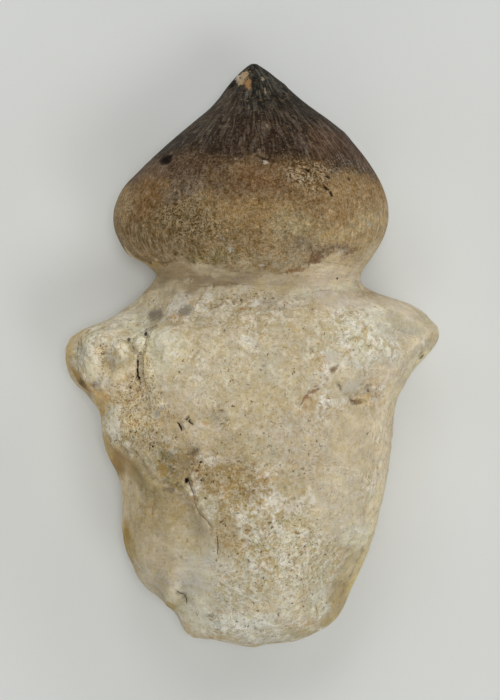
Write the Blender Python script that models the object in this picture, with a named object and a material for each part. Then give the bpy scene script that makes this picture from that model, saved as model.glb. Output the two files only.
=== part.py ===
"""Fossil mosasaur tooth: a round crushing crown, grown as one piece with its flared root.

The tooth lies on its back on the plane z = 0. Its long axis runs along Y, with the crown's tip at +Y,
and its front faces +Z. Lengths below are in millimetres; MM turns them into metres.
"""

import math

import bmesh
import bpy
from mathutils import Matrix, Vector, noise

MM = 0.001

# Driving dimensions
TIP_Y = 31.5             # crown's tip
BELLY_Y = 15.1           # widest ring of the crown
NECK_Y = 8.1             # narrowest ring, between crown and root
TOE_Y = -31.6            # root's lower end
CROWN_RADIUS = 15.0      # half of the crown's width
NECK_RADIUS = 10.9       # half of the neck's width
KNOB_REACH = 20.4        # from the axis to the outer face of the left knob
WING_REACH = 20.2        # from the axis to the point of the right wing
ROOT_RADIUS = 14.6       # half of the root's width below its shoulder
CROWN_DEPTH = 13.9       # from the axis to the crown's front
ROOT_DEPTH = 12.4        # from the axis to the root's front
BACK_DEPTH = 13.6        # from the axis to the back, before the resting flats are rubbed off
AXIS_HEIGHT = 13.2       # height of the axis above the surface the tooth lies on

# Mesh
SEGMENTS = 84            # points round the axis
RINGS = 58               # rings from tip to toe
LENGTH_SAMPLES = 600     # steps that measure the outline's length

# The four outlines, each as (y, distance from the axis), from the tip to the toe
LEFT = [
    (TIP_Y, 0.0), (31.2, 0.7), (30.5, 1.5), (29.4, 2.6), (27.3, 4.1), (25.1, 6.6), (22.9, 9.2),
    (19.7, 12.6), (17.5, 14.4), (BELLY_Y, CROWN_RADIUS + 0.2), (13.2, 14.9), (11.8, 14.0),
    (10.4, 12.4), (9.3, 11.0), (NECK_Y, NECK_RADIUS - 0.4), (7.4, 11.4), (5.6, 13.1), (4.4, 14.9),
    (3.0, 17.9), (1.8, 19.8), (0.4, KNOB_REACH), (-1.2, KNOB_REACH), (-2.4, 19.7), (-3.9, 17.8),
    (-6.2, 16.4), (-8.4, 16.2), (-10.9, ROOT_RADIUS + 1.0), (-13.2, 14.3), (-16.7, 14.1),
    (-20.3, 13.9), (-22.7, 12.9), (-25.0, 11.4), (-26.2, 9.6), (-28.5, 7.9), (-29.9, 7.2),
    (-30.5, 5.0), (-31.2, 2.2), (TOE_Y, 0.0),
]
RIGHT = [
    (TIP_Y, 0.0), (31.2, 0.9), (30.5, 1.9), (29.4, 3.2), (27.3, 5.6), (25.1, 8.6), (21.9, 11.7),
    (19.7, 13.2), (17.5, 14.3), (BELLY_Y, CROWN_RADIUS - 0.3), (13.2, 14.3), (11.8, 13.6),
    (10.1, 12.4), (9.0, 11.6), (NECK_Y, NECK_RADIUS + 0.5), (7.4, 11.8), (6.6, 13.6), (6.1, 15.4),
    (4.6, 18.1), (3.3, 20.0), (2.4, WING_REACH), (1.4, 19.8), (-0.8, 18.0), (-3.0, 16.4),
    (-5.4, 15.4), (-9.4, ROOT_RADIUS + 0.3), (-13.8, 14.4), (-17.0, 13.7), (-20.4, 12.5),
    (-23.8, 11.2), (-26.1, 10.3), (-27.9, 9.2), (-29.3, 7.8), (-30.2, 5.9), (-30.9, 3.8),
    (-31.3, 1.4), (TOE_Y, 0.0),
]
FRONT = [
    (TIP_Y, 0.0), (31.2, 0.8), (30.5, 1.7), (29.4, 2.9), (27.3, 4.8), (25.1, 7.5), (22.9, 9.8),
    (19.7, 12.4), (17.5, 13.5), (BELLY_Y, CROWN_DEPTH), (13.2, 13.5), (11.8, 12.8), (10.1, 11.3),
    (9.0, 10.5), (NECK_Y, 10.3), (6.7, 10.8), (4.5, 11.7), (1.5, 12.2), (-3.0, ROOT_DEPTH),
    (-8.0, 12.3), (-13.0, 11.8), (-17.0, 11.1), (-21.0, 10.1), (-25.0, 8.6), (-28.0, 6.8),
    (-30.1, 4.6), (-31.0, 2.8), (TOE_Y, 0.0),
]
BACK = [
    (TIP_Y, 0.0), (31.2, 0.8), (30.5, 1.7), (29.4, 2.9), (27.3, 4.9), (25.1, 7.7), (22.9, 9.9),
    (19.7, 12.4), (17.5, 13.3), (BELLY_Y, BACK_DEPTH - 0.1), (13.2, 13.1), (11.8, 12.2),
    (10.1, 10.4), (9.0, 9.4), (NECK_Y, 9.1), (6.7, 9.8), (4.5, 11.3), (1.5, 12.8),
    (-2.0, BACK_DEPTH), (-9.0, BACK_DEPTH), (-13.0, 13.1), (-17.0, 12.0), (-21.0, 10.3),
    (-25.0, 8.1), (-28.0, 6.0), (-30.1, 3.8), (-31.0, 2.3), (TOE_Y, 0.0),
]
# How square a ring's front and back are, as (y, exponent): 2 is an ellipse, more fills its corners
FRONT_SQUARENESS = [
    (TIP_Y, 2.0), (NECK_Y, 2.1), (5.0, 2.3), (1.0, 2.6), (-4.0, 2.5), (-12.0, 2.45), (-24.0, 2.3),
    (TOE_Y, 2.0),
]
BACK_SQUARENESS = [
    (TIP_Y, 2.0), (NECK_Y, 2.0), (5.0, 1.75), (1.0, 1.65), (-4.0, 1.85), (-12.0, 2.2), (-24.0, 2.2),
    (TOE_Y, 2.0),
]
# How far a ring's front dips below its sides, as (y, dip): the crown sits a little askew on the root
DIP = [
    (TIP_Y, 0.0), (22.0, 0.2), (14.0, 1.1), (10.0, 1.7), (NECK_Y, 1.6), (4.5, 1.0), (-3.0, 0.0),
    (TOE_Y, 0.0),
]

# Lumps (height over 0) and hollows (under 0), as (x, y, face, reach along x, reach along y, height).
# Face 1 is the front and -1 the back.
FORMS = {
    "knob_rim": (-17.0, 1.9, 1, 2.6, 1.7, 0.55),
    "knob_hollow": (-15.8, -0.6, 1, 1.7, 1.5, -0.9),
    "knob_foot": (-14.9, -3.0, 1, 2.4, 1.7, 0.6),
    "shoulder_swell": (-8.6, 0.6, 1, 3.0, 3.6, 0.6),
    "shoulder_dip": (-10.4, 4.6, 1, 2.4, 1.6, -0.6),
    "centre_swell": (1.5, -3.5, 1, 5.5, 6.0, 0.35),
    "flake_hollow": (-8.2, -11.3, 1, 2.4, 2.2, -0.7),
    "wing_hollow": (16.8, 0.6, 1, 2.6, 1.6, -0.4),
    "chip": (11.6, -4.9, 1, 1.8, 1.3, -0.9),
    "toe_ridge": (-8.8, -25.6, 1, 1.3, 2.0, 0.6),
    "toe_notch": (-6.9, -25.4, 1, 1.3, 1.5, -0.7),
    "toe_dent": (-10.6, -25.8, 1, 1.4, 1.2, -0.6),
    "toe_swell": (2.5, -24.0, 1, 5.0, 4.0, 0.3),
    "back_gutter": (8.8, -7.0, -1, 2.2, 8.0, -1.2),
    "back_swell": (-9.5, -3.0, -1, 3.0, 4.0, 0.5),
    "back_dent": (-6.5, -19.0, -1, 3.2, 3.0, -0.9),
    "back_shoulder_dip": (3.0, 5.2, -1, 4.0, 1.6, -0.6),
}
# A crease parts the left knob from the body of the root, as (x, y) points
CREASE = [(-11.6, 5.0), (-12.6, 2.8), (-12.5, -0.6), (-12.4, -3.4), (-11.9, -5.4)]
CREASE_REACH = 1.3
CREASE_DEPTH = 1.1
# A flake broke away on the lower left of the front, beyond this line
FLAKE_EDGE = [
    (-17.5, -6.6), (-15.6, -8.6), (-14.9, -9.8), (-13.7, -10.6), (-12.6, -11.5), (-11.6, -13.3),
    (-9.6, -14.1), (-6.9, -13.8), (-6.2, -15.4), (-5.3, -17.4), (-4.2, -19.2), (-3.8, -22.5),
]
FLAKE_DEPTH = 1.1
FLAKE_STEP = 1.1         # width of the step at the flake's edge
FLAKE_FADE_FROM = -16.0  # the break runs out between these two heights
FLAKE_FADE_TO = -25.0
# Flat breaks, as (y, degrees round from the right over the front, outward normal, depth, reach)
BREAKS = {
    "tip_chip": (29.9, 128, (-0.72, 0.30, 0.62), 0.35, 2.4),
    "toe_bevel": (-24.5, 32, (0.72, -0.42, 0.55), 1.3, 8.0),
    "wing_top": (3.9, 32, (0.22, 0.42, 0.88), 0.9, 5.0),
    "knob_side": (-1.3, 158, (-0.86, -0.12, 0.50), 0.8, 4.5),
    "back_break": (-21.0, 250, (-0.25, -0.55, -0.80), 1.0, 7.0),
}
BREAK_EDGE = 0.5         # share of its reach over which a break runs out
# The root's uneven surface, as (size of its swells, height); the crown is smoother
ROOT_SWELLS = ((5.5, 0.34), (2.4, 0.20))
CROWN_SWELLS = ((6.5, 0.12), (2.6, 0.05))
ENAMEL_EDGE_Y = 9.6      # where the crown's smoother surface ends
EDGE_BLEND = 1.6         # over this height it turns into the root's
SWELL_PLACE = Vector((37.1, 11.3, 5.9))  # part of the noise that the swells are taken from
SIDE_CALM = 0.85         # share of the swells left out at the two sides, whose outline is already uneven

TOOTH_COLOUR = (0.56, 0.47, 0.34, 1.0)
TOOTH_ROUGHNESS = 0.85
SMOOTH_ANGLE = math.radians(50)


def clear_scene():
    for obj in list(bpy.data.objects):
        bpy.data.objects.remove(obj)


def smoothstep(low, high, value):
    share = min(max((value - low) / (high - low), 0.0), 1.0)
    return share * share * (3.0 - 2.0 * share)


def slopes_of(points):
    """Slope at each point of a curve that never overshoots: the harmonic mean of its two sides."""
    steps = [(r1 - r0) / (y1 - y0) for (y0, r0), (y1, r1) in zip(points, points[1:])]
    inner = [2 * a * b / (a + b) if a * b > 0 else 0.0 for a, b in zip(steps, steps[1:])]
    return [steps[0], *inner, steps[-1]]


def curve_through(points):
    """A function of y that runs smoothly through (y, value) points, listed from high y to low."""
    slopes = slopes_of(points)

    def value_at(y):
        i = 0
        while i < len(points) - 2 and y < points[i + 1][0]:
            i += 1
        (y0, v0), (y1, v1) = points[i], points[i + 1]
        span = y1 - y0
        t = min(max((y - y0) / span, 0.0), 1.0)
        return (
            v0 * (1 + 2 * t) * (1 - t) ** 2
            + slopes[i] * span * t * (1 - t) ** 2
            + v1 * t * t * (3 - 2 * t)
            + slopes[i + 1] * span * t * t * (t - 1)
        )

    return value_at


left_of, right_of = curve_through(LEFT), curve_through(RIGHT)
front_of, back_of = curve_through(FRONT), curve_through(BACK)
front_squareness_of = curve_through(FRONT_SQUARENESS)
back_squareness_of = curve_through(BACK_SQUARENESS)
dip_of = curve_through(DIP)


def ring_heights():
    """Heights of the rings, evenly spaced along the tooth's mean outline, poles left out."""
    ys = [TIP_Y + (TOE_Y - TIP_Y) * i / LENGTH_SAMPLES for i in range(LENGTH_SAMPLES + 1)]
    radii = [(left_of(y) + right_of(y) + front_of(y) + back_of(y)) / 4 for y in ys]
    run = [0.0]
    for i in range(LENGTH_SAMPLES):
        run.append(run[-1] + math.hypot(ys[i + 1] - ys[i], radii[i + 1] - radii[i]))
    heights = []
    at = 0
    for ring in range(1, RINGS + 1):
        wanted = run[-1] * ring / (RINGS + 1)
        while run[at + 1] < wanted:
            at += 1
        share = (wanted - run[at]) / (run[at + 1] - run[at])
        heights.append(ys[at] + share * (ys[at + 1] - ys[at]))
    return heights


def ring_point(y, turn):
    """Point of the plain shape on the ring at y; turn runs from 0 at the right over the front."""
    across, up = math.cos(turn), math.sin(turn)
    power = 2.0 / (front_squareness_of(y) if up > 0 else back_squareness_of(y))
    width = right_of(y) if across > 0 else left_of(y)
    depth = front_of(y) if up > 0 else back_of(y)
    x = math.copysign(abs(across) ** power, across) * width
    z = math.copysign(abs(up) ** power, up) * depth
    return Vector((x, y - dip_of(y) * up, AXIS_HEIGHT + z))


def outward(y, turn):
    """Direction that points away from the plain shape there."""
    step = 0.05
    along = ring_point(y - step, turn) - ring_point(y + step, turn)
    around = ring_point(y, turn + step) - ring_point(y, turn - step)
    return around.cross(along).normalized()


def nearest_on_line(line, x, y):
    """Distance from (x, y) to a line of points, signed: over 0 on its upper right."""
    best, side = math.inf, 1.0
    for (x0, y0), (x1, y1) in zip(line, line[1:]):
        dx, dy = x1 - x0, y1 - y0
        t = min(max(((x - x0) * dx + (y - y0) * dy) / (dx * dx + dy * dy), 0.0), 1.0)
        ex, ey = x - x0 - t * dx, y - y0 - t * dy
        distance = math.hypot(ex, ey)
        if distance < best:
            best, side = distance, math.copysign(1.0, dx * ey - dy * ex)
    return best * side


def form_height(point):
    """Height that the lumps and hollows add at a point."""
    total = 0.0
    for x, y, face, reach_x, reach_y, height in FORMS.values():
        facing = smoothstep(0.0, 3.0, (point.z - AXIS_HEIGHT) * face)
        away = ((point.x - x) / reach_x) ** 2 + ((point.y - y) / reach_y) ** 2
        total += height * facing * math.exp(-away)
    return total


def crease_height(point):
    facing = smoothstep(0.0, 3.0, point.z - AXIS_HEIGHT)
    away = abs(nearest_on_line(CREASE, point.x, point.y))
    return -CREASE_DEPTH * facing * math.exp(-((away / CREASE_REACH) ** 2))


def flake_height(point):
    """The step down where a flake is missing, below and to the left of its edge."""
    below = smoothstep(0.0, FLAKE_STEP, -nearest_on_line(FLAKE_EDGE, point.x, point.y))
    kept = smoothstep(FLAKE_FADE_TO, FLAKE_FADE_FROM, point.y)
    facing = smoothstep(-2.0, 3.0, point.z - AXIS_HEIGHT)
    return -FLAKE_DEPTH * below * kept * facing


def swell_height(point, turn):
    """Height of the surface's natural unevenness."""
    enamel = smoothstep(ENAMEL_EDGE_Y - EDGE_BLEND, ENAMEL_EDGE_Y, point.y)
    total = 0.0
    for swells, share in ((CROWN_SWELLS, enamel), (ROOT_SWELLS, 1.0 - enamel)):
        for size, height in swells:
            total += share * height * noise.noise(point / size + SWELL_PLACE)
    return total * (1.0 - SIDE_CALM * math.cos(turn) ** 4)


def break_planes():
    """Each flat break as the point it is round, its normal and its reach."""
    planes = []
    for y, degrees, normal, depth, reach in BREAKS.values():
        normal = Vector(normal).normalized()
        planes.append((ring_point(y, math.radians(degrees)) - normal * depth, normal, reach))
    return planes


def worn(point, planes):
    """The point after the flat breaks and the rubbed resting flats."""
    for place, normal, reach in planes:
        past = max((point - place).dot(normal), 0.0)
        held = smoothstep(reach * (1.0 - BREAK_EDGE), reach, (point - place).length)
        point = point - normal * past * (1.0 - held)
    return Vector((point.x, point.y, max(point.z, 0.0)))


def surface_point(y, turn, planes):
    plain = ring_point(y, turn)
    height = form_height(plain) + crease_height(plain) + flake_height(plain)
    height += swell_height(plain, turn)
    return worn(plain + outward(y, turn) * height, planes)


def tooth_mesh():
    mesh = bmesh.new()
    planes = break_planes()
    turns = [2 * math.pi * i / SEGMENTS for i in range(SEGMENTS)]
    rings = []
    for y in ring_heights():
        rings.append([mesh.verts.new(surface_point(y, turn, planes) * MM) for turn in turns])
    tip = mesh.verts.new(Vector((0.0, TIP_Y, AXIS_HEIGHT)) * MM)
    toe = mesh.verts.new(Vector((0.0, TOE_Y, AXIS_HEIGHT)) * MM)
    for i in range(SEGMENTS):
        after = (i + 1) % SEGMENTS
        mesh.faces.new((tip, rings[0][i], rings[0][after]))
        for upper, lower in zip(rings, rings[1:]):
            mesh.faces.new((upper[i], lower[i], lower[after], upper[after]))
        mesh.faces.new((toe, rings[-1][after], rings[-1][i]))
    bmesh.ops.recalc_face_normals(mesh, faces=mesh.faces)
    bmesh.ops.triangulate(mesh, faces=mesh.faces, quad_method="SHORT_EDGE")
    data = bpy.data.meshes.new("tooth")
    mesh.to_mesh(data)
    mesh.free()
    return data


def centre_on_origin(data):
    """Moves the mesh so that the middle of its box is over the origin."""
    xs = [v.co.x for v in data.vertices]
    ys = [v.co.y for v in data.vertices]
    data.transform(Matrix.Translation((-(min(xs) + max(xs)) / 2, -(min(ys) + max(ys)) / 2, 0.0)))


def fossil_material():
    material = bpy.data.materials.new("fossil")
    material.use_nodes = True
    shader = material.node_tree.nodes["Principled BSDF"]
    shader.inputs["Base Color"].default_value = TOOTH_COLOUR
    shader.inputs["Roughness"].default_value = TOOTH_ROUGHNESS
    shader.inputs["Metallic"].default_value = 0.0
    return material


def make_tooth():
    data = tooth_mesh()
    centre_on_origin(data)
    data.shade_smooth()
    data.set_sharp_from_angle(angle=SMOOTH_ANGLE)
    data.materials.append(fossil_material())
    tooth = bpy.data.objects.new("tooth", data)
    bpy.context.scene.collection.objects.link(tooth)
    return tooth


clear_scene()
make_tooth()
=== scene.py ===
import math

import bmesh
import bpy
import numpy as np
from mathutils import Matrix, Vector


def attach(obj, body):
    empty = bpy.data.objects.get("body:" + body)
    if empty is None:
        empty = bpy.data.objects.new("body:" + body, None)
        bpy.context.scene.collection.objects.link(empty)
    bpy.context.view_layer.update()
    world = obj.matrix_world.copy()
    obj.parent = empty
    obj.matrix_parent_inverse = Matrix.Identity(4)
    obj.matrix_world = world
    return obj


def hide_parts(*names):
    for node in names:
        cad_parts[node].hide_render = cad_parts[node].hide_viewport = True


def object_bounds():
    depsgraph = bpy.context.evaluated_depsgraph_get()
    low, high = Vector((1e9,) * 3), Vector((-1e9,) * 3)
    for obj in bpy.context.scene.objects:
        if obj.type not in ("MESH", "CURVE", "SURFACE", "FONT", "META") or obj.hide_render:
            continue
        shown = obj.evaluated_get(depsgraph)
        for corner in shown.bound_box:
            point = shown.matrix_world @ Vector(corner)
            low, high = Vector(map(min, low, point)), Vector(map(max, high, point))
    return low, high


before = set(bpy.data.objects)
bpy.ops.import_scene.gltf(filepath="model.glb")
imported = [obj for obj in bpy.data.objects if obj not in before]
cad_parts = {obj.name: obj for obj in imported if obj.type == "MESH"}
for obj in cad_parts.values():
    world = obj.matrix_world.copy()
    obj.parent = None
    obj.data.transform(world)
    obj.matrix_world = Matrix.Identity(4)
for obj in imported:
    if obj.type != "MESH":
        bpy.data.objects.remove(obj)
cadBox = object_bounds()
mm = 0.001
axisHeight = 13.2            # of the tooth's long axis over the floor, mm
screenGamma = 2.2


def addNode(tree, kind, inputs=None, **settings):
    made = tree.nodes.new(kind)
    for name, value in settings.items():
        setattr(made, name, value)
    for key, value in (inputs or {}).items():
        feed(tree, made.inputs[key], value)
    return made


def feed(tree, socket, value):
    if isinstance(value, bpy.types.NodeSocket):
        tree.links.new(value, socket)
    else:
        socket.default_value = value


def calc(tree, operation, *values, clamp=False):
    made = addNode(tree, "ShaderNodeMath", operation=operation, use_clamp=clamp)
    for socket, value in zip(made.inputs, values):
        feed(tree, socket, value)
    return made.outputs[0]


def vector(tree, operation, *values):
    made = addNode(tree, "ShaderNodeVectorMath", operation=operation)
    for socket, value in zip(made.inputs, values):
        feed(tree, socket, value)
    return made.outputs["Value" if operation in ("LENGTH", "DOT_PRODUCT") else "Vector"]


def ramp(tree, value, low, high, toLow=0.0, toHigh=1.0):
    made = addNode(
        tree, "ShaderNodeMapRange",
        {"Value": value, "From Min": low, "From Max": high, "To Min": toLow, "To Max": toHigh},
        interpolation_type="SMOOTHSTEP", clamp=True,
    )
    return made.outputs["Result"]


# A noise value about 0.5, for a place in millimetres: size is the width of one swell
def noiseAt(tree, place, size, detail=2.0, roughness=0.5, distortion=0.0, seed=0.0):
    made = addNode(
        tree, "ShaderNodeTexNoise",
        {"Vector": vector(tree, "ADD", place, (seed, seed * 0.7, -seed)), "Scale": 1.0 / size,
         "Detail": detail, "Roughness": roughness, "Distortion": distortion},
        noise_dimensions="3D",
    )
    return made.outputs[0]


# 1 on the fine lines where a noise crosses its middle, 0 between them
def ridgeAt(tree, noise, width):
    return ramp(tree, calc(tree, "ABSOLUTE", calc(tree, "SUBTRACT", noise, 0.5)), width, 0.0)


# A colour as a screen shows it, 0 to 255, in the values that light is reckoned with
def linear(red, green, blue):
    values = np.array([red, green, blue]) / 255.0
    return tuple(np.where(values <= 0.04045, values / 12.92, ((values + 0.055) / 1.055) ** 2.4))


def smoothStep(low, high, value):
    share = np.clip((value - low) / (high - low), 0.0, 1.0)
    return share * share * (3.0 - 2.0 * share)


# One value between -1 and 1 for each row of places
def latticeNoise(places, size, seed):
    at = places / size + seed * 7.31
    base = np.floor(at).astype(np.int64)
    part = at - base
    part = part * part * part * (part * (part * 6 - 15) + 10)
    total = np.zeros(len(places))
    for corner in range(8):
        step = np.array([corner & 1, corner >> 1 & 1, corner >> 2 & 1])
        cell = base + step
        mixed = cell[:, 0] * 73856093 ^ cell[:, 1] * 19349663 ^ cell[:, 2] * 83492791
        mixed = (mixed ^ (mixed >> 13) ^ seed * 2654435) * 1274126177 & 0xFFFFFFFF
        value = ((mixed ^ (mixed >> 15)) & 0xFFFF) / 32767.5 - 1.0
        total += value * np.prod(np.where(step, part, 1.0 - part), axis=1)
    return total


# The same with finer noises over it, each half as wide and half as high as the one before
def roughNoise(places, size, seed, octaves):
    total = np.zeros(len(places))
    for octave in range(octaves):
        total += latticeNoise(places, size / 2**octave, seed + octave) * 0.5**octave
    return total


# Distance of each (x, y) to a line of points, and its side: over 0 on the left of the line's run
def lineDistance(places, line):
    best = np.full(len(places), np.inf)
    side = np.ones(len(places))
    for start, end in zip(line, line[1:]):
        start, run = np.array(start), np.subtract(end, start)
        off = places[:, :2] - start
        share = np.clip(off @ run / (run @ run), 0.0, 1.0)
        gap = off - share[:, None] * run
        distance = np.hypot(gap[:, 0], gap[:, 1])
        nearer = distance < best
        best[nearer] = distance[nearer]
        side[nearer] = np.sign(run[0] * gap[nearer, 1] - run[1] * gap[nearer, 0])
    return best, side


# A new object with this data, put in the scene
def addObject(name, data):
    made = bpy.data.objects.new(name, data)
    bpy.context.scene.collection.objects.link(made)
    return made


view = {
    "distance": 360.0,       # over the middle of the tooth's depth, mm
    "middleHeight": 13.0,
    "frameHeight": 75.6,     # what the frame takes in at that height, mm
    "aimX": -0.26,
    "aimY": 0.675,
    "sensor": 36.0,
    "clip": (0.01, 5.0),     # nearest and furthest seen, m
}


def makeCamera(opts):
    data = bpy.data.cameras.new("overheadCamera")
    data.sensor_width = opts["sensor"]
    data.lens = opts["sensor"] * opts["distance"] / opts["frameHeight"]
    data.clip_start, data.clip_end = opts["clip"]
    camera = addObject("overheadCamera", data)
    height = opts["middleHeight"] + opts["distance"]
    camera.location = (opts["aimX"] * mm, opts["aimY"] * mm, height * mm)
    bpy.context.scene.camera = camera


makeCamera(view)
print("camera over the tooth")


toothMesh = {
    "roundingLevels": 2,     # rounds off the solid's facets
    "grain": 0.18,           # width of a face before thinning, mm
    "joinWithin": 0.002,     # corners nearer than this are one, mm
    "softening": 0.5,
    "smoothing": 8,          # rounds of softening
    "faceBudget": 192000,    # triangles after thinning
}


# The piece as its modifiers leave it becomes a plain mesh of its own
def settle(piece):
    graph = bpy.context.evaluated_depsgraph_get()
    mesh = bpy.data.meshes.new_from_object(piece.evaluated_get(graph))
    mesh.name = piece.name
    piece.modifiers.clear()
    piece.data = mesh


def fineCopy(nodeName, opts):
    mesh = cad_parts[nodeName].data.copy()
    work = bmesh.new()
    work.from_mesh(mesh)
    bmesh.ops.remove_doubles(work, verts=work.verts, dist=opts["joinWithin"] * mm)
    work.to_mesh(mesh)
    work.free()
    piece = addObject("mosasaurTooth", mesh)
    rounding = piece.modifiers.new("rounding", "SUBSURF")
    rounding.levels = rounding.render_levels = opts["roundingLevels"]
    remesh = piece.modifiers.new("evenFaces", "REMESH")
    remesh.mode = "VOXEL"
    remesh.voxel_size = opts["grain"] * mm
    soften = piece.modifiers.new("soften", "SMOOTH")
    soften.factor = opts["softening"]
    soften.iterations = opts["smoothing"]
    settle(piece)
    return piece


def thin(piece, budget):
    triangles = sum(len(face.vertices) - 2 for face in piece.data.polygons)
    thinning = piece.modifiers.new("thinning", "DECIMATE")
    thinning.ratio = min(1.0, budget / triangles)
    settle(piece)


def readPoints(mesh):
    places = np.empty(len(mesh.vertices) * 3, np.float32)
    mesh.vertices.foreach_get("co", places)
    normals = np.empty(len(mesh.vertices) * 3, np.float32)
    mesh.vertices.foreach_get("normal", normals)
    return places.reshape(-1, 3).astype(float) / mm, normals.reshape(-1, 3).astype(float)


def writePoints(mesh, places):
    mesh.vertices.foreach_set("co", (places * mm).astype(np.float32).ravel())
    mesh.update()


def writeNumber(mesh, name, values):
    layer = mesh.attributes.get(name) or mesh.attributes.new(name, "FLOAT", "POINT")
    layer.data.foreach_set("value", np.asarray(values, np.float32))


def writeVector(mesh, name, values):
    layer = mesh.attributes.get(name) or mesh.attributes.new(name, "FLOAT_VECTOR", "POINT")
    layer.data.foreach_set("vector", np.asarray(values, np.float32).ravel())


def writeColour(mesh, name, values):
    layer = mesh.attributes.get(name) or mesh.attributes.new(name, "FLOAT_COLOR", "POINT")
    whole = np.ones((len(values), 4), np.float32)
    whole[:, :3] = values
    layer.data.foreach_set("color", whole.ravel())


tooth = fineCopy("tooth", toothMesh)
print("fine mesh:", len(tooth.data.polygons), "faces")

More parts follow.
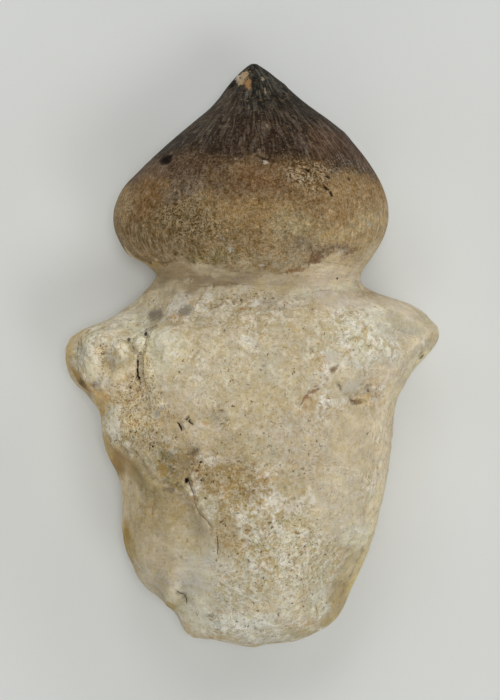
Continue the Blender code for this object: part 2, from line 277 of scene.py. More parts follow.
# Each crack: half width, depth, half width of the dark line in it, how dark that is, and its
# points across the front, mm
cracks = {
    "knobCrack": (0.2, 0.8, 0.11, 1.0, [(-12.0, -0.4), (-12.05, -0.9), (-11.95, -1.7),
                                        (-11.9, -2.4)]),
    "knobCrackTop": (0.16, 0.3, 0.06, 0.6, [(-11.9, 0.2), (-12.0, -0.4)]),
    "knobCrackFoot": (0.16, 0.2, 0.06, 0.6, [(-11.9, -2.4), (-11.8, -3.0), (-12.0, -3.6)]),
    "knobBranchRight": (0.16, 0.2, 0.07, 0.66, [(-11.9, 0.2), (-11.5, 0.7), (-11.2, 1.6),
                                                (-11.0, 2.4), (-10.7, 3.0), (-10.2, 3.3)]),
    "knobBranchLeft": (0.16, 0.18, 0.06, 0.64, [(-12.1, 0.1), (-12.6, 0.7), (-12.7, 1.6),
                                               (-12.1, 2.4), (-11.5, 2.6), (-11.0, 3.0)]),
    "lobeLine": (0.12, 0.06, 0.05, 0.55, [(-14.9, 0.6), (-14.7, 1.4), (-14.0, 1.8),
                                          (-13.2, 1.6)]),
    "lobeLineLow": (0.12, 0.06, 0.05, 0.5, [(-14.9, -3.0), (-14.2, -3.3), (-13.4, -3.0),
                                            (-13.0, -2.2)]),
    "shelfLine": (0.12, 0.06, 0.05, 0.45, [(-19.4, 2.0), (-17.8, 3.0), (-16.3, 3.3),
                                           (-14.8, 3.0)]),
    "rimLine": (0.14, 0.08, 0.06, 0.6, [(-17.3, 2.8), (-18.4, 1.9), (-18.6, 1.0), (-18.6, -0.2),
                                        (-18.5, -1.5), (-18.2, -2.8)]),
    "flakeCrack": (0.14, 0.15, 0.055, 0.8, [(-6.8, -12.7), (-6.5, -13.4), (-6.3, -14.3)]),
    "flakeCrackLow": (0.14, 0.12, 0.05, 0.74, [(-6.3, -14.3), (-6.0, -15.5), (-5.5, -16.6),
                                              (-4.7, -17.4), (-4.2, -18.1)]),
    "flakeCrackEnd": (0.12, 0.1, 0.05, 0.8, [(-3.7, -19.0), (-3.6, -20.8)]),
    "stripLine": (0.12, 0.05, 0.05, 0.35, [(12.0, -20.3), (11.1, -22.3), (10.3, -24.2),
                                           (9.6, -25.7)]),
    "toeCrack": (0.13, 0.12, 0.05, 0.45, [(6.8, -26.6), (7.0, -27.4), (7.2, -28.4)]),
    "toeSlit": (0.13, 0.25, 0.06, 0.8, [(-7.85, -24.9), (-7.6, -25.1), (-7.2, -25.2)]),
    "toeSlitLow": (0.13, 0.2, 0.06, 0.8, [(-7.2, -25.4), (-7.05, -25.8), (-7.05, -26.2)]),
    "thornSlit": (0.13, 0.3, 0.085, 1.0, [(-7.75, -7.0), (-7.65, -7.3), (-7.4, -7.65)]),
    "thornSlitUpper": (0.13, 0.3, 0.075, 1.0, [(-6.95, -6.6), (-6.7, -6.75), (-6.35, -7.05)]),
    "thornSlitTop": (0.12, 0.2, 0.06, 0.8, [(-6.85, -6.65), (-6.75, -6.4)]),
    "centreSlit": (0.13, 0.1, 0.06, 0.35, [(-5.7, 0.5), (-6.1, -0.1), (-6.3, -0.7)]),
    "wingSlit": (0.14, 0.1, 0.05, 0.4, [(9.7, 1.3), (10.5, 2.0)]),
    "chipSlit": (0.17, 0.2, 0.09, 0.6, [(9.0, -2.9), (9.2, -3.2), (9.4, -3.6)]),
    "rustLine": (0.12, 0.03, 0.10, 0.55, [(7.2, -2.8), (6.5, -3.2), (5.8, -3.7), (5.3, -4.3),
                                          (5.1, -5.0)]),
    "shoulderLine": (0.12, 0.04, 0.04, 0.35, [(4.6, 6.2), (6.0, 6.7), (8.0, 7.1), (9.6, 6.9)]),
    "wingEdgeLine": (0.1, 0.1, 0.06, 0.5, [(12.6, 6.9), (14.0, 6.6), (15.3, 6.2)]),
    "wingEdgeLow": (0.1, 0.06, 0.04, 0.35, [(15.3, 6.2), (17.3, 5.1), (18.8, 4.1)]),
    "neckCrease": (0.2, 0.15, 0.07, 0.4, [(11.3, 7.9), (11.6, 7.1), (12.2, 6.8)]),
    "capCrack": (0.14, 0.15, 0.08, 0.8, [(0.4, 21.0), (0.9, 20.75), (1.6, 20.6)]),
    "capCrackLeft": (0.16, 0.12, 0.07, 0.7, [(-3.2, 21.0), (-2.4, 20.9), (-1.9, 20.7)]),
    "capCrackFar": (0.14, 0.12, 0.06, 0.6, [(-6.2, 21.2), (-5.2, 21.4), (-4.5, 21.2)]),
    "capScar": (0.14, 0.12, 0.06, 0.6, [(7.3, 18.1), (7.8, 17.6)]),
    "enamelNick": (0.15, 0.15, 0.08, 0.7, [(-12.3, 10.7), (-11.4, 10.1), (-10.9, 9.9)]),
    "crownRut": (0.25, 0.08, 0.05, 0.25, [(-12.6, 14.4), (-10.8, 14.1), (-9.4, 13.4),
                                          (-7.8, 13.2)]),
    "wornStep": (0.2, 0.07, 0.05, 0.3, [(-3.9, 16.4), (-4.0, 14.2), (-3.8, 12.9), (-4.4, 12.3)]),
    "lowRidgeLine": (0.15, 0.08, 0.05, 0.35, [(-10.4, -13.9), (-10.4, -15.2), (-10.6, -16.6)]),
    "collarLine": (0.15, 0.06, 0.05, 0.4, [(-5.4, 7.3), (-4.2, 7.4), (-2.6, 7.6), (-0.6, 7.5)]),
    "edgeLineLeft": (0.12, 0.05, 0.06, 0.4, [(-12.0, 10.5), (-10.7, 10.0), (-9.1, 9.9),
                                             (-7.4, 10.1)]),
    "edgeLineMiddle": (0.1, 0.03, 0.05, 0.3, [(-7.4, 10.1), (-5.0, 9.6), (-2.3, 8.9), (0.1, 8.6),
                                              (2.4, 8.7), (5.0, 8.9)]),
    "edgeLineRight": (0.1, 0.06, 0.06, 0.5, [(5.9, 9.6), (6.3, 10.4), (6.1, 11.4)]),
    "edgeLineFar": (0.1, 0.03, 0.05, 0.3, [(6.3, 9.6), (7.5, 9.9), (8.9, 9.8), (10.2, 9.6),
                                           (11.6, 10.2)]),
}

# Each pit: middle, reach each way, turn in degrees, depth, how dark it is inside
pits = {
    "crownPit": (-9.2, 20.8, 0.52, 0.40, 30, 0.5, 1.0),
    "crownPitTail": (-8.8, 21.1, 0.35, 0.18, 45, 0.3, 0.9),
    "branchPit": (-11.3, 2.4, 0.2, 0.24, 0, 0.4, 0.9),
    "branchPitLeft": (-13.0, 1.75, 0.16, 0.18, 0, 0.3, 0.8),
    "footPit": (-12.9, -3.3, 0.12, 0.12, 0, 0.3, 0.8),
    "sidePit": (-16.9, -3.1, 0.24, 0.2, 0, 0.3, 0.5),
    "collarPit": (-1.2, 5.9, 0.12, 0.12, 0, 0.3, 0.7),
    "collarPitLeft": (-2.9, 2.7, 0.1, 0.12, 0, 0.2, 0.6),
    "crackPit": (-6.9, -13.0, 0.22, 0.3, 20, 0.4, 1.0),
    "crustPit": (-5.4, -11.0, 0.17, 0.11, 25, 0.3, 0.9),
    "crustPitLow": (-5.4, -12.9, 0.11, 0.18, 20, 0.3, 0.9),
    "crustPitRust": (-5.8, -11.9, 0.18, 0.11, 0, 0.2, 0.6),
    "lonePit": (-10.5, -9.4, 0.10, 0.10, 0, 0.3, 1.0),
    "slopePit": (-3.2, -5.6, 0.16, 0.1, 0, 0.2, 0.5),
    "scarPit": (7.7, 17.6, 0.42, 0.14, -38, 0.2, 0.9),
    "scarPitEnd": (8.2, 17.1, 0.3, 0.13, -60, 0.15, 0.9),
    "scarPitLeft": (5.7, 19.5, 0.28, 0.17, -45, 0.15, 0.9),
    "scarPitHigh": (6.4, 20.1, 0.14, 0.24, 0, 0.12, 0.7),
    "scarPitMiddle": (7.9, 18.8, 0.36, 0.12, -30, 0.15, 0.8),
    "scarPitRight": (10.1, 18.8, 0.24, 0.13, -50, 0.12, 0.75),
    "wingPit": (8.4, -1.4, 0.30, 0.18, 20, 0.35, 0.5),
    "wingPitTail": (8.9, -1.0, 0.28, 0.1, 40, 0.15, 0.3),
    "chipPit": (11.1, -4.8, 0.5, 0.2, 8, 0.4, 0.5),
    "chipPitLeft": (10.5, -4.6, 0.25, 0.12, -30, 0.3, 0.65),
    "chipDent": (12.3, -3.6, 0.35, 0.5, -20, 0.3, 0.0),
    "neckPit": (-4.1, 7.3, 0.15, 0.1, 0, 0.2, 0.6),
    "neckDot": (9.0, 8.2, 0.09, 0.09, 0, 0.15, 0.8),
    "wingNotch": (18.2, -0.1, 0.35, 0.12, 48, 0.3, 0.7),
    "knobHollow": (-15.3, -0.6, 0.8, 1.3, 30, 0.28, 0.0),
    "flakeHollow": (-8.2, -11.7, 1.6, 1.4, 0, 0.22, 0.0),
    "greyHollow": (-8.7, -14.0, 0.5, 0.4, 0, 0.2, 0.0),
    "upperGrey": (-6.2, -10.0, 0.7, 0.45, 40, 0.25, 0.0),
    "sinkBelowThorns": (-9.2, -10.4, 1.0, 0.7, 0, 0.15, 0.0),
    "toePitMiddle": (-0.4, -21.5, 0.12, 0.12, 0, 0.2, 0.6),
    "toePitRight": (3.9, -20.9, 0.12, 0.16, 0, 0.2, 0.5),
    "toePitLow": (2.7, -27.4, 0.1, 0.2, 0, 0.2, 0.6),
    "toePitEnd": (0.3, -28.9, 0.12, 0.18, 0, 0.2, 0.4),
    "tipPit": (-1.3, 30.0, 0.12, 0.18, 30, 0.15, 0.7),
}

# Each lump: middle, reach each way, turn in degrees, height
lumps = {
    "knobCap": (-13.7, 0.9, 0.75, 0.9, 0, 0.35),
    "knobLobe": (-14.1, -2.1, 0.9, 0.9, 30, 0.35),
    "knobRim": (-17.6, 0.4, 0.7, 2.0, 5, 0.2),
    "knobShelf": (-16.0, 2.3, 1.6, 0.6, 20, 0.2),
    "splinter": (-11.9, 1.5, 0.4, 0.8, 10, 0.12),
    "bodyEdge": (-11.1, -1.2, 0.5, 1.6, 3, 0.12),
    "whiteKnob": (-14.9, -7.3, 0.7, 0.9, 0, 0.2),
    "crustHorn": (-12.8, -10.0, 1.0, 0.6, -30, 0.15),
    "chipLip": (9.9, -2.4, 1.0, 1.2, 35, 0.2),
    "toeBead": (-8.4, -25.6, 0.85, 1.3, 12, 0.6),
    "toeLipEnd": (0.2, -30.3, 0.8, 0.5, 0, 0.25),
    "shoulderRoll": (-7.8, 1.4, 1.6, 2.2, 0, 0.2),
}

# Each ledge: its line, run so that the high side is on its left, with lip, groove and their width
ledges = {
    "flakeLedge": (0.03, 0.14, 0.32, [(-6.7, -13.2), (-7.8, -13.8), (-9.0, -14.0),
                                      (-10.1, -13.4), (-11.1, -12.6), (-12.2, -11.2),
                                      (-13.3, -10.3), (-14.8, -9.4), (-16.1, -7.9),
                                      (-16.6, -7.0)]),
    "toeLedge": (0.03, 0.12, 0.50, [(3.0, -30.4), (5.1, -29.7), (7.0, -28.2), (7.9, -26.5),
                                    (8.4, -25.0), (9.1, -23.3), (10.6, -21.3), (12.2, -19.6)]),
    "knobLedge": (0.08, 0.15, 0.40, [(-16.6, -5.4), (-17.5, -3.6), (-18.3, -2.0), (-18.6, 0.2),
                                     (-18.4, 1.6), (-17.0, 2.8), (-14.6, 3.7)]),
    "wingLedge": (0.03, 0.05, 0.40, [(18.9, 1.0), (17.0, 2.3), (15.4, 3.6), (13.6, 5.2),
                                     (12.2, 6.4)]),
}

# Broad swells where the tooth bulges past its solid: middle, reach, rise, mm
swells = {
    "leftFlank": ((-15.6, -9.5, 12.0), 3.2, 0.45),
    "leftStep": ((-14.6, -13.0, 12.0), 1.8, 0.30),
    "leftSide": ((-14.3, -18.5, 12.0), 4.0, 0.50),
    "leftCorner": ((-10.8, -25.0, 12.0), 3.2, 0.45),
    "leftToe": ((-6.6, -29.6, 12.0), 2.2, 0.45),
    "rightCorner": ((12.8, -21.0, 12.0), 2.8, 0.40),
    "rightToe": ((8.6, -28.2, 12.0), 2.8, 0.30),
    "rightToeEnd": ((4.8, -30.6, 12.0), 2.2, 0.30),
    "rightFlank": ((14.8, -10.0, 12.5), 5.0, 0.15),
    "wingTop": ((17.3, 5.2, 13.0), 2.4, 0.42),
    "wingFoot": ((18.3, 0.6, 13.0), 2.6, 0.20),
    "knobFoot": ((-18.6, -3.0, 13.0), 1.6, 0.40),
    "knobTop": ((-18.6, 2.6, 13.0), 2.2, 0.25),
    "knobShoulder": ((-13.6, 5.2, 13.0), 2.0, 0.20),
    "knee": ((-17.2, -5.0, 12.5), 1.3, 0.35),
    "lipLeft": ((-13.3, 11.0, 13.0), 1.4, 0.35),
    "crownLeft": ((-13.2, 17.6, 13.2), 1.5, 0.14),
    "crownRight": ((9.9, 24.1, 13.2), 1.3, 0.14),
    "tipRight": ((3.6, 29.5, 13.2), 0.5, 0.10),
}

# The left of the neck is drawn in sharply under the enamel's lip, mm
waist = {
    "shift": 0.45,
    "foot": (8.0, 8.8),      # fades in up the neck
    "lip": (10.6, 9.8),      # and out under the lip
    "side": (-8.9, -11.0),   # and in towards the left
    "height": 13.0,          # middle of it over the floor
    "reach": 5.0,
}

# The crown's tip is drawn out to a point, mm
tip = {"place": (0.15, 31.3, 13.2), "reach": 0.8, "rise": 0.25}

# How marks and colours are shaken out of their smooth shapes: width of a wave and its height in
# mm, a seed for each way across, and how many waves are added up, each finer than the last
wavers = {
    "marks": (0.9, 0.09, (3, 11), 3),
    "ledges": (1.5, 0.5, (5, 13), 3),
    "patches": (2.2, 0.55, (21, 37), 4),
    "spots": (0.7, 0.16, (43, 57), 3),
}


# 1 on the front, 0 on the back, faded between by the way the surface faces and by its height over
# the tooth's axis
def facing(places, normals, tilt, height):
    return smoothStep(*tilt, normals[:, 2]) * smoothStep(*height, places[:, 2] - axisHeight)


def frontness(places, normals):
    return facing(places, normals, (-0.15, 0.25), (-4.0, 0.0))


# Colours reach further round the flanks than marks do
def paintShare(places, normals):
    return facing(places, normals, (-0.55, -0.15), (-8.0, -3.0))


# Each place as seen from the middle of a turned spot, in reaches of the spot
def spotOffset(places, x, y, reachX, reachY, degrees):
    turn = math.radians(degrees)
    dx, dy = places[:, 0] - x, places[:, 1] - y
    along = (dx * math.cos(turn) + dy * math.sin(turn)) / reachX
    across = (dy * math.cos(turn) - dx * math.sin(turn)) / reachY
    return along, across


# 1 in the middle of a spot and 0 well outside it
def spotReach(places, *spot):
    along, across = spotOffset(places, *spot)
    return np.exp(-(along**2 + across**2) ** 1.5)


# The places moved about across the front, so that marks drawn from a few points look ragged
def shaken(places, kind):
    size, height, seeds, octaves = wavers[kind]
    moved = places.copy()
    for axis, seed in enumerate(seeds):
        moved[:, axis] += roughNoise(places, size, seed, octaves) * height
    return moved


def carveMarks(piece):
    places, normals = readPoints(piece.data)
    front = frontness(places, normals)
    near = shaken(places, "marks")
    ragged = shaken(places, "ledges")
    height = np.zeros(len(places))
    for *spot, rise in lumps.values():
        height += rise * spotReach(near, *spot) ** 0.7
    lipAt, grooveAt = 0.6, -0.7          # from a ledge's line, in its widths
    for lip, groove, width, line in ledges.values():
        distance, side = lineDistance(ragged, line)
        signed = distance * side / width
        height += (lip * np.exp(-((signed - lipAt) ** 2))
                   - groove * np.exp(-((signed - grooveAt) ** 2)))
    for *spot, depth, _ in pits.values():
        height -= depth * spotReach(near, *spot)
    for width, depth, _, _, line in cracks.values():
        distance, _ = lineDistance(near, line)
        height -= depth * np.exp(-((distance / width) ** 2))
    moved = places + normals * (height * front)[:, None]
    stretched = (1.0, 1.0, 0.5)          # swells reach twice as far up and down
    for middle, reach, rise in swells.values():
        away = np.linalg.norm((places - middle) * stretched, axis=1) / reach
        moved += normals * (rise * np.exp(-away**2))[:, None]
    drawn = smoothStep(*waist["foot"], places[:, 1]) * smoothStep(*waist["lip"], places[:, 1])
    drawn *= smoothStep(*waist["side"], places[:, 0])
    drawn *= np.exp(-(((places[:, 2] - waist["height"]) / waist["reach"]) ** 2))
    moved[:, 0] += waist["shift"] * drawn
    fromTip = np.linalg.norm(places - tip["place"], axis=1)
    moved[:, 1] += tip["rise"] * np.exp(-((fromTip / tip["reach"]) ** 2))
    writePoints(piece.data, moved)


# Written at each point: how many line widths off the nearest crack's dark line it lies, with a
# sign for the side so that it passes through 0 on the line itself, and how dark that line is
# there. For the nearest pit, the point's place from its middle in reaches of the pit, and how dark
# the pit is.
def drawMarks(piece):
    places, normals = readPoints(piece.data)
    front = frontness(places, normals)
    near = shaken(places, "marks")
    furthestGap, furthestPit = 6.0, 9.0  # in widths of a crack's line and reaches of a pit
    lineFade = (0.42, 0.26)              # darkness fades between these distances, mm
    pitFade = (0.55, 0.35)
    best = np.full(len(places), np.inf)
    gap = np.full(len(places), furthestGap)
    shade = np.zeros(len(places))
    for _, _, lineWidth, dark, line in cracks.values():
        distance, side = lineDistance(near, line)
        nearer = distance < best
        best[nearer] = distance[nearer]
        gap[nearer] = np.clip(distance * side / lineWidth, -furthestGap, furthestGap)[nearer]
        shade[nearer] = dark * smoothStep(*lineFade, distance[nearer])
    writeNumber(piece.data, "crackGap", gap)
    writeNumber(piece.data, "crackDark", shade * front)

    best = np.full(len(places), np.inf)
    offset = np.full((len(places), 3), furthestPit)
    shade = np.zeros(len(places))
    for *spot, _, dark in pits.values():
        if dark == 0.0:
            continue
        x, y, reachX, reachY, _ = spot
        away = np.hypot(near[:, 0] - x, near[:, 1] - y)
        nearer = away < best
        best[nearer] = away[nearer]
        for axis, values in enumerate(spotOffset(near, *spot)):
            offset[nearer, axis] = values[nearer]
        far, close = (max(reachX, reachY) + fade for fade in pitFade)
        shade[nearer] = dark * smoothStep(far, close, best[nearer])
    offset[:, 2] = 0.0
    writeVector(piece.data, "pitOffset", np.clip(offset, -furthestPit, furthestPit))
    writeNumber(piece.data, "pitDark", shade * front)


# Where the enamel ends on the neck and where its dark cap ends, as (x, y)
enamelEdge = [(-14.5, 11.6), (-13.3, 11.0), (-12.0, 10.5), (-10.7, 10.0), (-9.1, 9.9),
              (-7.4, 10.1), (-5.0, 9.8), (-2.3, 9.3), (0.1, 9.1), (2.4, 9.0), (5.0, 9.2),
              (6.2, 9.9), (7.5, 10.6), (8.9, 10.6), (10.2, 10.5), (11.6, 11.0), (13.4, 11.9)]
capEdge = [(-13.0, 18.6), (-10.9, 20.2), (-9.3, 20.8), (-7.1, 21.1), (-5.0, 21.4), (-2.4, 21.1),
           (-0.3, 20.9), (2.4, 20.5), (5.0, 20.0), (7.6, 19.9), (10.3, 19.6), (12.5, 18.8),
           (14.2, 17.9)]

# Colours of the crown's front. Each patch: middle, reach each way, turn in degrees, colour, how
# deep its wrinkles look, and how far they curl like worms instead of running upright
crownPatches = {
    "capTip": (1.0, 27.9, 1.5, 2.3, 0, (63, 61, 53), 1.0, 0.0),
    "capLeft": (-4.3, 25.4, 2.5, 1.3, 38, (78, 67, 54), 0.8, 0.0),
    "capRight": (5.0, 25.1, 3.1, 1.9, -40, (57, 49, 38), 1.0, 0.0),
    "capLowRight": (8.4, 22.0, 2.7, 1.4, -35, (100, 79, 62), 1.0, 0.1),
    "capMiddle": (0.6, 23.3, 2.7, 1.7, 0, (75, 60, 46), 1.0, 0.2),
    "capLowLeft": (-5.7, 21.7, 2.7, 0.8, 15, (71, 59, 47), 1.0, 0.2),
    "capFarRight": (12.3, 19.2, 1.3, 1.3, -50, (110, 85, 64), 0.9, 0.1),
    "underCap": (-6.3, 20.0, 2.9, 1.1, 10, (88, 68, 47), 0.8, 0.6),
    "shoulderBrown": (-10.9, 19.6, 1.5, 0.9, 35, (109, 89, 70), 0.7, 0.3),
    "orangeCheek": (-11.3, 16.5, 1.3, 1.8, -20, (126, 98, 62), 0.5, 0.6),
    "purpleCheek": (-7.3, 17.2, 1.7, 0.9, 30, (112, 95, 75), 0.8, 0.6),
    "leftRim": (-14.0, 15.0, 0.8, 2.3, 0, (154, 129, 91), 0.7, 0.8),
    "oliveWorms": (-6.5, 14.0, 2.6, 1.6, 0, (124, 104, 70), 1.0, 1.0),
    "leftUnder": (-9.4, 11.9, 3.0, 0.9, -18, (129, 108, 75), 0.9, 0.3),
    "brownBrow": (1.2, 18.4, 2.7, 1.3, 0, (113, 87, 57), 0.35, 0.5),
    "browFoot": (-0.8, 16.8, 1.6, 0.8, 0, (102, 79, 54), 0.4, 0.6),
    "browFootRight": (3.0, 16.2, 1.2, 0.8, 0, (108, 84, 57), 0.4, 0.6),
    "leftBrow": (-3.8, 18.6, 1.1, 1.0, 0, (102, 81, 56), 0.7, 0.6),
    "midRightTan": (5.8, 16.2, 1.4, 1.0, 0, (124, 101, 69), 0.5, 0.6),
    "tanCheek": (0.6, 14.8, 2.9, 1.3, 0, (141, 116, 78), 0.35, 0.6),
    "rightMottle": (7.4, 18.8, 2.9, 1.2, -12, (131, 107, 75), 1.9, 0.8),
    "rightMottleFar": (11.0, 18.9, 2.0, 1.1, -25, (103, 90, 78), 1.9, 0.7),
    "rightTan": (10.2, 16.8, 2.3, 1.7, 0, (148, 122, 85), 0.35, 0.5),
    "rightRim": (12.4, 13.1, 1.2, 1.7, 0, (172, 150, 112), 0.3, 0.3),
    "rightRimUp": (14.0, 17.2, 0.8, 1.3, 0, (157, 128, 87), 0.8, 0.6),
    "rightRimLow": (14.2, 13.6, 0.7, 1.6, 0, (179, 156, 119), 0.3, 0.3),
    "oliveSpot": (4.1, 13.4, 1.6, 1.1, 0, (151, 133, 97), 0.3, 0.8),
    "greySpot": (5.2, 11.8, 1.5, 0.6, 0, (144, 126, 96), 0.4, 0.8),
    "lowMiddle": (-1.0, 12.3, 1.5, 1.1, 0, (136, 114, 79), 0.5, 0.8),
    "lowRight": (9.0, 12.2, 1.5, 0.8, 0, (171, 148, 109), 0.35, 0.4),
    "edgeOlive": (-4.2, 10.4, 2.1, 0.5, 0, (137, 120, 82), 0.8, 0.6),
    "edgeTan": (3.4, 9.9, 3.1, 0.5, 0, (162, 144, 113), 0.4, 0.5),
    "edgeRight": (8.4, 10.6, 1.6, 0.5, 0, (130, 110, 85), 0.4, 0.5),
}

